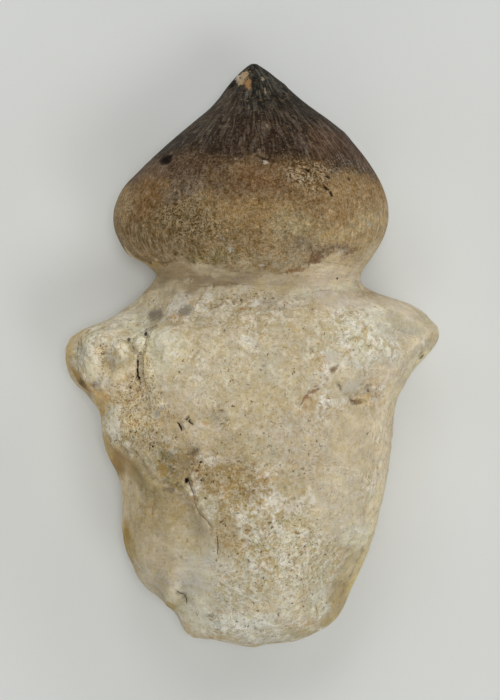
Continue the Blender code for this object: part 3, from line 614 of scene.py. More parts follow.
# Colours of the root's and the neck's front. Each patch: middle, reach each way, turn in degrees,
# colour, and how much white crust, brown stain and open pores it has, from 0 to 1
rootPatches = {
    "neckEdge": (-9.8, 9.5, 1.8, 0.35, -3, (182, 149, 86), 0.0, 0.2, 0.0),
    "neckFoot": (-6.7, 7.4, 1.2, 0.6, 10, (169, 150, 117), 0.0, 0.2, 0.0),
    "neckLip": (0.4, 8.9, 2.0, 0.4, 0, (160, 141, 109), 0.0, 0.2, 0.0),
    "neckLeft": (-8.1, 8.7, 1.6, 0.8, 0, (170, 151, 121), 0.1, 0.2, 0.0),
    "neckMiddle": (-2.9, 9.2, 2.1, 0.4, 0, (175, 161, 131), 0.1, 0.2, 0.0),
    "neckShade": (-2.1, 7.9, 2.9, 0.4, 0, (158, 142, 115), 0.0, 0.4, 0.1),
    "neckRight": (8.7, 8.4, 2.6, 0.8, 0, (225, 210, 185), 0.1, 0.1, 0.0),
    "neckBelow": (3.1, 7.9, 1.6, 0.5, 0, (190, 174, 145), 0.1, 0.3, 0.1),
    "collar": (-0.3, 6.3, 4.2, 0.5, 0, (194, 179, 146), 0.4, 0.3, 0.5),
    "collarRight": (7.7, 6.9, 2.6, 0.3, 8, (226, 217, 190), 0.2, 0.1, 0.1),
    "collarFoot": (2.4, 4.8, 1.4, 0.6, 0, (174, 164, 143), 0.3, 0.3, 0.3),
    "shoulderLeft": (-10.7, 6.0, 1.6, 0.6, 20, (232, 218, 185), 0.4, 0.3, 0.2),
    "shoulderMiddle": (-2.1, 4.3, 3.0, 0.8, 0, (184, 168, 130), 0.5, 0.3, 0.3),
    "shoulderFoot": (-4.2, 2.7, 1.2, 0.8, 0, (187, 171, 136), 0.2, 0.35, 0.2),
    "shoulderPink": (10.1, 5.9, 2.4, 0.5, -8, (225, 213, 196), 0.0, 0.0, 0.0),
    "creamRoll": (-9.1, 0.9, 1.9, 1.7, 0, (210, 200, 167), 0.35, 0.1, 0.0),
    "wingWhite": (-17.1, 0.7, 1.1, 1.2, 0, (193, 181, 140), 0.7, 0.1, 0.0),
    "wingShelf": (-16.6, 3.0, 1.6, 0.5, 20, (215, 205, 172), 0.6, 0.5, 0.1),
    "wingHollow": (-15.3, -0.4, 0.8, 1.1, 30, (237, 220, 183), 0.3, 0.5, 1.0),
    "wingBand": (-19.6, 0.5, 0.5, 1.8, 0, (209, 187, 134), 0.1, 0.5, 0.0),
    "wingBandFoot": (-18.1, -2.5, 0.5, 0.9, 40, (168, 136, 79), 0.0, 0.6, 0.0),
    "wingWhiteLow": (-17.1, -1.5, 0.7, 0.8, 0, (246, 233, 197), 0.5, 0.3, 0.0),
    "rimTop": (-18.6, 2.0, 0.8, 0.6, 40, (211, 192, 156), 0.05, 0.4, 0.0),
    "shoulderTop": (-13.2, 3.9, 1.3, 0.7, 25, (246, 241, 225), 0.3, 0.3, 0.1),
    "crackTop": (-12.0, 1.8, 0.7, 1.9, 0, (236, 232, 206), 0.3, 0.4, 0.2),
    "wingLobes": (-13.7, 0.5, 0.8, 1.6, 0, (205, 191, 150), 0.6, 0.5, 0.0),
    "lobeYellow": (-13.7, -1.4, 0.8, 0.8, 0, (202, 188, 152), 0.2, 0.4, 0.1),
    "ochreFoot": (-15.6, -4.6, 0.7, 0.9, 0, (246, 205, 131), 0.1, 0.8, 0.0),
    "crackGrain": (-11.0, -2.4, 0.5, 2.2, 8, (246, 233, 192), 0.3, 0.7, 0.8),
    "porousField": (-12.4, -5.6, 2.1, 2.2, 0, (224, 209, 173), 0.2, 0.8, 1.0),
    "porousPale": (-10.6, -5.3, 0.8, 0.9, 0, (246, 232, 193), 0.3, 0.5, 0.8),
    "thornTan": (-8.6, -7.1, 1.0, 0.8, 0, (191, 173, 138), 0.1, 0.6, 0.6),
    "whiteRim": (-14.9, -7.3, 0.7, 1.5, 15, (246, 232, 187), 1.0, 0.2, 0.3),
    "ochreRim": (-16.2, -5.9, 0.45, 0.9, 0, (223, 193, 131), 0.2, 0.5, 0.2),
    "flankBrown": (-15.8, -9.8, 0.6, 1.2, 15, (208, 183, 129), 0.0, 0.4, 0.0),
    "flakeTop": (-11.6, -9.0, 1.8, 0.8, 0, (184, 169, 131), 0.3, 0.4, 0.9),
    "oliveHollow": (-8.3, -11.6, 1.7, 1.5, 0, (136, 125, 84), 0.2, 0.6, 0.5),
    "hollowEdge": (-6.7, -10.6, 0.8, 1.3, 15, (174, 156, 119), 0.1, 0.3, 0.6),
    "hollowLeft": (-12.4, -11.6, 0.9, 0.7, -30, (171, 152, 108), 0.05, 0.5, 0.3),
    "creamMiddle": (-3.2, -1.9, 3.2, 2.8, 0, (208, 195, 163), 0.3, 0.35, 0.25),
    "goldMiddle": (1.2, -5.1, 1.8, 2.0, 0, (204, 188, 151), 0.2, 0.35, 0.2),
    "creamBody": (2.2, -1.3, 1.4, 1.2, 0, (197, 188, 162), 0.15, 0.35, 0.15),
    "greyFleck": (-3.2, -6.4, 0.6, 0.6, 0, (187, 176, 149), 0.1, 0.3, 0.7),
    "rightUpper": (5.0, 2.2, 3.0, 1.6, 0, (198, 185, 153), 0.3, 0.4, 0.15),
    "whiteRight": (11.5, 2.1, 2.0, 1.6, 0, (207, 200, 169), 0.7, 0.6, 0.2),
    "wingSnow": (13.6, 4.4, 0.9, 0.6, -20, (245, 238, 214), 0.7, 0.3, 0.1),
    "wingGrey": (16.5, 3.6, 1.8, 0.8, -20, (194, 186, 164), 0.1, 0.1, 0.0),
    "wingUpper": (15.2, 5.6, 1.8, 0.4, -25, (221, 209, 189), 0.0, 0.1, 0.0),
    "wingTip": (19.2, 2.3, 0.4, 0.8, 0, (206, 194, 169), 0.0, 0.6, 0.0),
    "wingLow": (16.7, 0.7, 1.2, 0.8, 40, (215, 203, 176), 0.2, 0.4, 0.0),
    # painted light: the wing's lower flank is given a paler colour to make up for the shade it
    # falls into as it turns away from the lamps
    "wingFlankPaintedLight": (17.9, -0.8, 0.5, 1.6, -45, (241, 229, 193), 0.1, 0.3, 0.0),
    "chipPale": (9.7, -2.9, 1.5, 0.9, 20, (203, 189, 158), 0.2, 0.0, 0.0),
    "whiteFoot": (12.4, -0.5, 2.0, 0.7, 0, (217, 210, 186), 0.6, 0.3, 0.1),
    "chipBrown": (11.3, -4.8, 0.7, 0.3, 0, (236, 211, 166), 0.0, 0.3, 0.0),
    "goldRight": (4.9, -2.4, 1.2, 1.3, 0, (205, 193, 162), 0.2, 0.4, 0.2),
    "rustField": (5.6, -5.0, 0.8, 0.9, 0, (197, 176, 136), 0.1, 0.4, 0.2),
    "underWing": (14.6, -2.6, 1.0, 1.4, 50, (221, 206, 180), 0.2, 0.2, 0.0),
    "underWingEdge": (14.9, -4.6, 0.8, 1.2, 0, (236, 222, 190), 0.1, 0.3, 0.0),
    "rightPink": (5.0, -8.9, 3.0, 2.0, 0, (200, 187, 161), 0.25, 0.3, 0.25),
    "creamLow": (0.0, -9.9, 1.6, 1.0, 0, (197, 185, 154), 0.1, 0.4, 0.3),
    "slopeTan": (-2.6, -9.3, 1.2, 0.9, 0, (190, 176, 145), 0.1, 0.45, 0.4),
    "tanRight": (4.6, -13.1, 1.6, 1.2, 0, (196, 183, 151), 0.1, 0.45, 0.3),
    "rightSide": (10.8, -8.8, 1.8, 2.5, 0, (210, 195, 164), 0.05, 0.15, 0.1),
    # the root's right flank: pale bone colour made paler still as painted light, so that the flank
    # looks lit right to its edge where it turns away into shade
    "rightEdgePaleWithPaintedLight": (14.0, -9.9, 0.7, 4.0, 3, (235, 219, 188), 0.3, 0.4, 0.0),
    "rightEdgeLowPaleWithPaintedLight": (13.3, -16.4, 0.8, 2.2, -8, (238, 225, 193), 0.2, 0.4, 0.0),
    "rightCorner": (10.9, -18.8, 1.0, 1.0, -20, (246, 241, 217), 0.3, 0.3, 0.2),
    "brownBelow": (-14.0, -11.8, 0.9, 1.3, 30, (177, 146, 97), 0.0, 0.7, 0.1),
    "brownBelowLow": (-14.4, -13.6, 0.7, 1.0, 0, (151, 122, 71), 0.0, 0.4, 0.0),
    "leftColumn": (-13.4, -16.0, 0.7, 2.5, 0, (242, 224, 186), 0.1, 0.5, 0.0),
    "leftColumnLow": (-13.4, -20.2, 0.7, 1.4, 0, (181, 151, 71), 0.0, 0.6, 0.0),
    "lowerBrown": (-9.8, -16.4, 2.0, 1.8, 0, (188, 170, 131), 0.1, 0.4, 0.1),
    "underFlake": (-10.9, -13.8, 1.2, 0.7, -35, (178, 160, 117), 0.1, 0.3, 0.1),
    "crackSide": (-5.2, -17.3, 0.7, 1.1, 25, (178, 160, 121), 0.05, 0.3, 0.2),
    "lowerTan": (-9.5, -21.0, 2.4, 1.6, 0, (197, 182, 151), 0.05, 0.1, 0.0),
    "lowerPink": (-11.0, -24.5, 1.4, 1.1, -40, (205, 193, 167), 0.1, 0.1, 0.0),
    "greySlab": (-5.0, -22.7, 1.9, 2.9, 0, (206, 200, 184), 0.0, 0.05, 0.05),
    "brownMottle": (-2.3, -13.4, 2.1, 1.6, 0, (167, 148, 105), 0.25, 0.45, 0.9),
    "brownMottleLow": (-2.9, -15.6, 1.6, 1.0, 0, (174, 153, 106), 0.35, 0.6, 0.7),
    "crustLow": (1.0, -18.7, 2.9, 2.3, 0, (184, 173, 129), 0.65, 0.75, 0.55),
    "crustMiddle": (-0.8, -24.6, 2.4, 1.8, 0, (202, 194, 164), 0.5, 0.5, 0.4),
    "crustRight": (5.5, -21.4, 2.5, 2.8, 0, (211, 202, 167), 0.55, 0.6, 0.6),
    "tanSlope": (-6.6, -19.3, 1.1, 1.2, -15, (193, 180, 149), 0.05, 0.2, 0.1),
    "crackTan": (-2.9, -18.6, 0.9, 1.4, 0, (180, 164, 127), 0.12, 0.6, 0.5),
    "crackPale": (-4.7, -15.9, 0.6, 0.9, 20, (189, 179, 147), 0.4, 0.3, 0.3),
    "paleRight": (9.2, -15.1, 1.8, 2.4, 0, (212, 200, 173), 0.2, 0.2, 0.1),
    "tanStrip": (10.5, -22.6, 0.8, 2.0, -28, (206, 192, 157), 0.0, 0.3, 0.0),
    "stripRim": (10.9, -24.5, 0.3, 2.4, -30, (223, 200, 132), 0.2, 0.3, 0.0),
    "tanStripLow": (8.9, -26.9, 0.6, 1.8, -38, (185, 169, 132), 0.0, 0.4, 0.0),
    "stripEnd": (8.2, -28.8, 0.6, 0.6, -35, (185, 173, 135), 0.0, 0.4, 0.0),
    "toeRight": (6.8, -25.9, 0.8, 1.2, -30, (224, 221, 200), 0.5, 0.4, 0.3),
    "toeWhite": (-1.3, -28.5, 2.4, 0.9, 0, (213, 211, 187), 0.8, 0.2, 0.2),
    "toeOrange": (3.4, -26.8, 2.2, 0.8, 0, (218, 208, 178), 0.4, 0.5, 0.3),
    "toeEnd": (1.9, -30.0, 2.7, 0.5, 0, (219, 214, 193), 0.5, 0.4, 0.2),
    "toeEdge": (5.4, -29.9, 1.4, 0.5, -20, (195, 184, 152), 0.1, 0.5, 0.1),
    "toeLeft": (-6.4, -26.8, 1.5, 1.1, -35, (223, 218, 196), 0.2, 0.2, 0.1),
    "bead": (-8.4, -25.6, 0.7, 1.0, 12, (201, 192, 168), 0.0, 0.2, 0.0),
    "beadFoot": (-9.0, -27.0, 0.7, 0.6, 0, (169, 152, 106), 0.1, 0.2, 0.0),
    "footRim": (-9.3, -23.9, 0.8, 0.5, 0, (191, 180, 157), 0.1, 0.2, 0.1),
}

# Small spots of colour: middle, reach each way, turn in degrees, colour, how strong
spots = {
    "tipChip": (-1.0, 29.9, 0.38, 0.72, -20, (214, 184, 140), 0.8),
    "tipChipWhite": (-1.5, 29.9, 0.25, 0.3, 0, (222, 208, 190), 0.8),
    "tipChipLow": (-0.5, 29.2, 0.28, 0.6, 0, (188, 142, 88), 0.9),
    "tipFleck": (1.0, 29.7, 0.16, 0.2, 0, (176, 156, 126), 0.8),
    "tipFleckLow": (1.2, 28.4, 0.14, 0.3, 10, (168, 148, 120), 0.7),
    "capFleck": (1.6, 24.3, 0.12, 0.5, -10, (160, 140, 115), 0.6),
    "crownPit": (-9.25, 20.8, 0.55, 0.45, 30, (40, 22, 24), 1.0),
    "crownPitTail": (-8.8, 21.15, 0.35, 0.2, 45, (60, 38, 34), 0.9),
    "chipBlue": (-3.1, 12.2, 0.4, 0.22, -10, (176, 176, 170), 0.4),
    "chipBlueLow": (-2.4, 11.2, 0.35, 0.2, -25, (206, 212, 208), 0.65),
    "chipGrey": (-2.2, 11.9, 0.35, 0.35, 0, (142, 136, 130), 0.45),
    "chipWing": (-4.6, 12.1, 0.25, 0.15, -30, (190, 186, 176), 0.35),
    "chipFoot": (1.0, 9.5, 0.35, 0.15, 10, (214, 214, 208), 0.5),
    "chipRight": (9.3, 11.0, 0.55, 0.3, 20, (216, 210, 200), 0.5),
    "chipMiddle": (5.6, 11.2, 0.22, 0.35, -20, (204, 204, 198), 0.5),
    "chipHigh": (1.35, 20.2, 0.25, 0.18, 0, (206, 190, 170), 0.9),
    "chipHighLeft": (-1.8, 20.6, 0.18, 0.16, 0, (182, 156, 124), 0.8),
    "chipFar": (12.3, 14.0, 0.3, 0.16, -30, (204, 210, 208), 0.5),
    "chipYellow": (9.5, 12.9, 0.14, 0.45, 0, (218, 196, 150), 0.55),
    "capSpeckle": (4.6, 14.7, 0.12, 0.12, 0, (70, 52, 36), 0.8),
    "smokeMiddle": (5.0, 12.0, 0.6, 0.9, -20, (98, 90, 78), 0.35),
    "edgeShade": (6.6, 10.2, 0.5, 0.5, 0, (120, 84, 52), 0.6),
    "edgeRust": (4.0, 8.9, 0.7, 0.18, 12, (146, 102, 62), 0.5),
    "edgeRustRight": (5.2, 9.1, 0.6, 0.22, 0, (136, 92, 54), 0.55),
    "edgeRustUp": (6.0, 9.6, 0.25, 0.4, -20, (120, 84, 52), 0.4),
    "edgeRustDrop": (4.6, 8.4, 0.2, 0.35, 20, (146, 100, 58), 0.5),
    "edgeRustFar": (8.2, 10.2, 0.3, 0.12, 0, (138, 98, 60), 0.4),
    "neckRust": (-4.9, 7.2, 0.3, 0.16, 20, (138, 96, 42), 0.5),
    "neckRustLow": (-4.1, 6.9, 0.18, 0.18, 0, (120, 88, 50), 0.4),
    "neckWhite": (-6.8, 8.0, 0.5, 0.3, 0, (214, 204, 182), 0.5),
    "collarWhite": (-4.6, 6.4, 0.45, 0.3, 10, (232, 226, 210), 0.8),
    "collarWhiteLeft": (-7.0, 5.9, 0.8, 0.25, 15, (224, 216, 196), 0.7),
    "collarRust": (-1.1, 4.9, 0.55, 0.16, 8, (168, 122, 68), 0.6),
    "collarRustRight": (0.6, 4.9, 0.3, 0.14, 30, (172, 124, 66), 0.4),
    "collarWhiteMiddle": (0.2, 5.4, 0.5, 0.3, 20, (236, 232, 222), 0.75),
    "collarSnow": (1.9, 3.9, 0.5, 0.35, 0, (230, 222, 202), 0.6),
    "greyThumb": (-10.3, 4.4, 0.75, 0.5, 25, (134, 124, 112), 0.8),
    "greyThumbFoot": (-10.7, 3.7, 0.5, 0.2, 20, (128, 118, 104), 0.35),
    "greyThumbRight": (-7.1, 4.8, 0.7, 0.5, 20, (142, 134, 120), 0.75),
    "thumbShade": (-8.2, 3.4, 1.1, 0.35, 5, (178, 164, 134), 0.5),
    "branchOchre": (-12.2, 3.3, 0.35, 0.2, 30, (164, 128, 66), 0.5),
    "branchOchreUp": (-11.6, 4.3, 0.3, 0.14, 40, (160, 130, 78), 0.4),
    "hollowGrey": (-15.2, -0.1, 0.5, 0.8, 35, (148, 134, 112), 0.22),
    "hollowGreyLow": (-14.7, -1.0, 0.3, 0.5, 10, (134, 122, 102), 0.2),
    "bandShadow": (-18.1, -3.0, 0.3, 0.7, 40, (100, 84, 56), 0.7),
    "footOrange": (-15.4, -4.6, 0.5, 0.5, 0, (212, 164, 104), 0.4),
    "rimSnow": (-14.5, -7.2, 0.45, 0.7, 0, (250, 240, 216), 0.85),
    "rimSnowUpper": (-14.2, -5.6, 0.35, 0.5, 0, (250, 240, 216), 0.7),
    "rimSnowLower": (-13.2, -9.2, 0.4, 0.4, 0, (250, 240, 216), 0.7),
    "blueFleck": (-9.8, -5.9, 0.25, 0.6, -35, (168, 166, 158), 0.6),
    "greySlope": (-3.1, -5.9, 0.5, 0.4, 0, (168, 156, 142), 0.4),
    "greySlopeDot": (-3.4, -5.6, 0.2, 0.14, 20, (96, 84, 70), 0.8),
    "darkHollow": (-6.1, -10.0, 0.55, 0.3, 35, (110, 94, 74), 0.6),
    "greyHollow": (-8.8, -14.0, 0.6, 0.45, 0, (118, 108, 98), 0.6),
    "ochreSlope": (-5.1, -7.0, 0.5, 0.35, 0, (190, 154, 92), 0.4),
    "crackRust": (-5.7, -11.8, 0.3, 0.14, 10, (140, 88, 40), 0.9),
    "crackRustTop": (-5.3, -11.0, 0.25, 0.14, 20, (120, 62, 28), 0.9),
    "crackSnow": (-4.9, -10.8, 0.6, 0.4, 30, (236, 226, 202), 0.6),
    "rustCurve": (6.35, -3.6, 0.6, 0.14, 28, (142, 98, 72), 0.8),
    "rustCurveLow": (5.6, -4.2, 0.2, 0.35, -25, (152, 106, 76), 0.75),
    "rustCurveEnd": (5.5, -5.3, 0.25, 0.5, 0, (186, 148, 106), 0.5),
    "rustSmall": (3.1, -5.8, 0.5, 0.13, 28, (168, 122, 68), 0.55),
    "wingBrown": (8.3, -1.5, 0.35, 0.22, 20, (148, 118, 78), 0.6),
    "wingBrownUp": (8.8, -1.1, 0.2, 0.25, -20, (158, 132, 96), 0.6),
    "wingFootRust": (17.9, 0.2, 0.35, 0.14, 45, (132, 94, 56), 0.6),
    "wingTipOchre": (19.1, 2.0, 0.3, 0.7, 10, (190, 150, 98), 0.2),
    "chipShade": (11.3, -4.8, 0.75, 0.28, 8, (124, 106, 80), 0.4),
    "chipShadeUp": (12.4, -3.7, 0.4, 0.35, -20, (150, 134, 108), 0.4),
    "chipSmooth": (10.4, -3.1, 1.1, 0.5, 25, (216, 208, 190), 0.75),
    "chipSmoothUp": (8.2, -0.2, 0.9, 0.6, 10, (214, 206, 188), 0.65),
    "toeShade": (9.0, -24.2, 0.6, 0.7, 0, (146, 128, 88), 0.4),
    "stripShade": (9.7, -24.3, 0.8, 0.7, -30, (150, 134, 98), 0.4),
    "leftShade": (-13.3, -19.6, 0.4, 1.0, 5, (128, 108, 66), 0.2),
    "leftGrey": (-12.0, -14.6, 0.5, 1.2, 0, (168, 156, 132), 0.2),
    "toeGrey": (-4.5, -27.5, 0.4, 0.3, 20, (140, 132, 118), 0.6),
}

# Where the bone's fibres show, running down the root, and where its layers show, running across
# it: middle, reach each way, turn in degrees, how strong
fibrousAreas = {
    "rightSide": (13.5, -10.0, 2.2, 6.5, 3, 0.75),
    "rightStrip": (10.3, -22.5, 1.3, 5.0, -25, 0.6),
    "wingUnder": (14.5, -1.5, 1.5, 2.5, -20, 0.5),
}

layeredAreas = {
    "lowerLeft": (-9.5, -18.5, 4.5, 6.0, 0, 0.5),
    "slab": (-5.0, -23.5, 2.5, 4.0, 0, 0.35),
    "shoulder": (-8.0, 5.5, 6.0, 1.5, 10, 0.4),
    "wingTop": (14.5, 5.2, 3.5, 1.2, -20, 0.35),
}

# Colours under the patches, which show on the back
finishes = {
    "crownBase": (150, 127, 92),
    "capBase": (62, 53, 44),
    "rootBase": (206, 190, 158),
    "rootPale": (224, 213, 186),
    "rootOchre": (190, 165, 122),
}

# Soft noises in the colours: width of a swell in mm, seed, and how many are added up, each finer
# than the last
blotches = {
    "edges": (1.6, 5, 4),
    "crown": (7.0, 61, 3),
    "paleBone": (6.0, 71, 3),
    "wornBone": (4.5, 83, 3),
}

# Where one finish turns into the next, mm
edges = {
    "enamelPlaces": (-11.0, -8.0, 2.0, 8.0),   # across the neck, and how softly the enamel ends
    "enamelSoftness": (0.4, 0.9, 1.1, 1.5),
    "enamelWobble": 0.6,
    "capSoftness": (-0.9, 0.7),
    "capWobble": 1.1,
    "neckFoot": (6.2, 7.4),
    "neckWobble": 0.5,
    "patchSpread": 1.5,      # times a patch's own reach
    "spotSpread": 1.25,
    "cavityRounds": 10,
    "cavityDepth": 0.1,
}


# Values for each point with the patches laid over the start values, each over those before it
def spread(places, front, patches, start):
    values = start.copy()
    warped = shaken(places, "patches")
    wider = edges["patchSpread"]
    for x, y, reachX, reachY, degrees, paint, *shares in patches.values():
        laid = np.array([*linear(*paint), *shares])
        weight = spotReach(warped, x, y, reachX * wider, reachY * wider, degrees) * 1.5
        values += (laid - values) * (np.clip(weight, 0, 1) * front)[:, None]
    return values


def paintSpots(piece, places, front):
    warped = shaken(places, "spots")
    tints = np.zeros((len(places), 3))
    shares = np.zeros(len(places))
    wider = edges["spotSpread"]
    for x, y, reachX, reachY, degrees, tint, strength in spots.values():
        share = spotReach(warped, x, y, reachX * wider, reachY * wider, degrees) * strength * front
        newer = share / np.maximum(share + shares, 1e-6)
        tints += (np.array(linear(*tint)) - tints) * newer[:, None]
        shares = np.maximum(shares, share)
    writeColour(piece.data, "spotTint", tints)
    writeNumber(piece.data, "spotShare", shares)


# How far each point lies below its surroundings, where 1 is the full depth or more; under 0 on
# edges that stand out
def cavities(mesh, places, normals, rounds, fullDepth):
    ends = np.empty(len(mesh.edges) * 2, np.int32)
    mesh.edges.foreach_get("vertices", ends)
    first, second = ends.reshape(-1, 2).T
    count = len(places)
    links = np.bincount(first, minlength=count) + np.bincount(second, minlength=count)
    links = np.maximum(links, 1)[:, None]
    soft = places
    kept, taken = 0.4, 0.6       # of a point's own place and of its neighbours', each round
    for _ in range(rounds):
        total = np.stack([np.bincount(first, soft[second, axis], count)
                          + np.bincount(second, soft[first, axis], count) for axis in range(3)],
                         axis=1)
        soft = kept * soft + taken * total / links
    return np.clip(np.einsum("ij,ij->i", soft - places, normals) / fullDepth, -1.0, 1.0)


# The crown's colour, and how deep and how wormy its wrinkles are, for each point
def crownValues(places, front, cap):
    base, darker = (np.array(linear(*finishes[name])) for name in ("crownBase", "capBase"))
    crown = np.zeros((len(places), 5))
    crown[:, :3] = base + (darker - base) * cap[:, None]
    crown[:, :3] *= 1.0 + 0.22 * roughNoise(places, *blotches["crown"])[:, None]
    crown[:, 3] = 0.7 + 0.3 * cap
    crown[:, 4] = 0.5 - 0.4 * cap
    return spread(places, front, crownPatches, crown)


# The root's colour and its crust, stain and pores for each point
def rootValues(places, front, neck):
    base, pale, ochre = (np.array(linear(*finishes[name]))
                         for name in ("rootBase", "rootPale", "rootOchre"))
    big = smoothStep(-0.5, 0.8, roughNoise(places, *blotches["paleBone"]))[:, None]
    worn = smoothStep(-0.3, 0.9, roughNoise(places, *blotches["wornBone"]))[:, None]
    root = np.zeros((len(places), 6))
    root[:, :3] = base
    root[:, :3] += (pale - root[:, :3]) * big * 0.6
    root[:, :3] += (ochre - root[:, :3]) * worn * 0.6
    root[:, 3] = 0.25 + 0.6 * big[:, 0]
    root[:, 4] = 0.2 + 0.6 * worn[:, 0]
    root[:, 5] = 0.5 * worn[:, 0]
    root = spread(places, front, rootPatches, root)
    root[:, 3:] *= 1.0 - 0.8 * neck[:, None]
    return root


# How far each point lies above a line across the tooth
def overLine(places, line):
    return places[:, 1] - np.interp(places[:, 0], *zip(*line))


def paintTooth(piece):
    places, normals = readPoints(piece.data)
    front = paintShare(places, normals)
    wobble = roughNoise(places, *blotches["edges"])
    blend = np.interp(places[:, 0], edges["enamelPlaces"], edges["enamelSoftness"])
    enamel = smoothStep(-blend, blend,
                        overLine(places, enamelEdge) + wobble * edges["enamelWobble"])
    cap = smoothStep(*edges["capSoftness"],
                     overLine(places, capEdge) + wobble * edges["capWobble"])
    neck = smoothStep(*edges["neckFoot"], places[:, 1] + wobble * edges["neckWobble"])
    crown = crownValues(places, front, cap)
    root = rootValues(places, front, neck)
    paintSpots(piece, places, front)
    # depth below the surroundings, which the material turns into painted shade in recesses and a
    # painted highlight on raised edges
    writeNumber(piece.data, "cavity", cavities(piece.data, places, normals,
                                               edges["cavityRounds"], edges["cavityDepth"]))
    for name, areas, least in (("fibres", fibrousAreas, np.full(len(places), 0.15)),
                               ("layers", layeredAreas, 0.1 + 0.8 * neck)):
        for *spot, strength in areas.values():
            least = np.maximum(least, strength * spotReach(places, *spot))
        writeNumber(piece.data, name, least)
    writeColour(piece.data, "crownTint", np.clip(crown[:, :3], 0.0, 1.0))
    writeColour(piece.data, "rootTint", np.clip(root[:, :3], 0.0, 1.0))
    for name, values in (("enamel", enamel), ("cap", cap), ("wrinkles", crown[:, 3]),
                         ("worms", crown[:, 4]), ("crust", root[:, 3]), ("stain", root[:, 4]),
                         ("pores", root[:, 5]), ("neck", neck)):
        writeNumber(piece.data, name, values)


# What the tooth's points hold under this name, in a material or in the relief tree
def surfaceValue(tree, name):
    if tree.bl_idname == "ShaderNodeTree":
        return addNode(tree, "ShaderNodeAttribute", attribute_name=name).outputs["Fac"]
    return addNode(tree, "GeometryNodeInputNamedAttribute", {"Name": name},
                   data_type="FLOAT").outputs[0]


def surfaceColour(tree, name):
    return addNode(tree, "ShaderNodeAttribute", attribute_name=name).outputs["Color"]


def scaled(tree, values, factor):
    return addNode(tree, "ShaderNodeVectorMath", {0: values, "Scale": factor},
                   operation="SCALE").outputs[0]


def placeInMm(tree):
    if tree.bl_idname == "ShaderNodeTree":
        place = addNode(tree, "ShaderNodeTexCoord").outputs["Object"]
    else:
        place = addNode(tree, "GeometryNodeInputPosition").outputs[0]
    return scaled(tree, place, 1.0 / mm)


# Wrinkles that run up the crown to its tip and keep their spacing as it narrows: two noises take
# turns, each round its own doubling of the crown's radius
def uprightWrinkles(tree, place, spacing, length, width, seed):
    split = addNode(tree, "ShaderNodeSeparateXYZ", {0: place})
    x, y = split.outputs[0], split.outputs[1]
    z = calc(tree, "SUBTRACT", split.outputs[2], axisHeight)
    square = calc(tree, "ADD", calc(tree, "MULTIPLY", x, x), calc(tree, "MULTIPLY", z, z))
    radius = calc(tree, "MAXIMUM", calc(tree, "SQRT", square), 0.3)
    level = calc(tree, "LOGARITHM", radius, 2.0)
    total = None
    for odd in (0.0, 1.0):
        half = calc(tree, "DIVIDE", calc(tree, "SUBTRACT", level, odd), 2.0)
        band = calc(tree, "ADD", calc(tree, "MULTIPLY", calc(tree, "ROUND", half), 2.0), odd)
        offBand = calc(tree, "ABSOLUTE", calc(tree, "SUBTRACT", level, band))
        share = calc(tree, "SUBTRACT", 1.0, offBand)
        turns = calc(tree, "DIVIDE", calc(tree, "POWER", 2.0, band),
                     calc(tree, "MULTIPLY", radius, spacing))
        flow = addNode(tree, "ShaderNodeCombineXYZ", {
            0: calc(tree, "MULTIPLY", x, turns),
            1: calc(tree, "ADD", calc(tree, "DIVIDE", y, length), odd * 17.0),
            2: calc(tree, "MULTIPLY", z, turns),
        }).outputs[0]
        noise = noiseAt(tree, flow, 1.0, detail=1.0, distortion=0.55, seed=seed)
        ridge = calc(tree, "MULTIPLY", ridgeAt(tree, noise, width), share)
        total = ridge if total is None else calc(tree, "ADD", total, ridge)
    return total


# The white crust and the brown stain between its patches
layerShapes = {
    "crust": {"size": 1.9, "roughness": 0.62, "distortion": 0.6, "seed": 3.1,
              "lift": -0.11, "fade": (0.46, 0.60)},
    "stain": {"size": 1.5, "roughness": 0.64, "distortion": 0.7, "seed": 9.7,
              "lift": -0.13, "fade": (0.47, 0.62)},
}


# A layer in ragged patches, wider where the surface's value of the same name is higher
def layerPatches(tree, place, name):
    opts = layerShapes[name]
    noise = noiseAt(tree, place, opts["size"], detail=6.0, roughness=opts["roughness"],
                    distortion=opts["distortion"], seed=opts["seed"])
    bias = calc(tree, "MULTIPLY_ADD", surfaceValue(tree, name), 0.20, opts["lift"])
    return ramp(tree, calc(tree, "ADD", noise, bias), *opts["fade"])


# Round pores of about size across, in a share of the cells that are spacing wide
def scatteredPores(tree, place, spacing, size, amount, seed=0.0):
    moved = vector(tree, "ADD", place, (seed, -seed, seed * 0.3))
    cells = addNode(tree, "ShaderNodeTexVoronoi", {"Vector": moved, "Scale": 1.0 / spacing})
    chance = addNode(tree, "ShaderNodeSeparateXYZ", {0: cells.outputs["Color"]})
    reach = calc(tree, "MULTIPLY_ADD", chance.outputs[1], 0.4 * size / spacing,
                 0.3 * size / spacing)
    hole = calc(tree, "SUBTRACT", 1.0, calc(tree, "DIVIDE", cells.outputs["Distance"], reach),
                clamp=True)
    kept = calc(tree, "LESS_THAN", chance.outputs[0], amount)
    return calc(tree, "MULTIPLY", ramp(tree, hole, 0.0, 0.5), kept)


def mixed(tree, share, first, second):
    made = addNode(tree, "ShaderNodeMix", {0: share, 6: first, 7: second}, data_type="RGBA")
    return made.outputs[2]


def powered(tree, colour, power):
    return addNode(tree, "ShaderNodeGamma", {"Color": colour, "Gamma": power}).outputs[0]


# A colour made lighter or darker by an even step to the eye, where 1 is the whole way to white
def shifted(tree, colour, amount):
    seen = powered(tree, colour, 1 / screenGamma)
    seen = vector(tree, "MAXIMUM", vector(tree, "ADD", seen, amount), (0.02, 0.02, 0.02))
    return powered(tree, seen, screenGamma)


# A colour made lighter by a share, or darker and then also deeper, as wet or stained bone is
def deepened(tree, colour, share):
    deep = powered(tree, colour, calc(tree, "MULTIPLY_ADD", share, -1.4, 1.0))
    return scaled(tree, deep, calc(tree, "MULTIPLY_ADD", share, 0.35, 1.0))


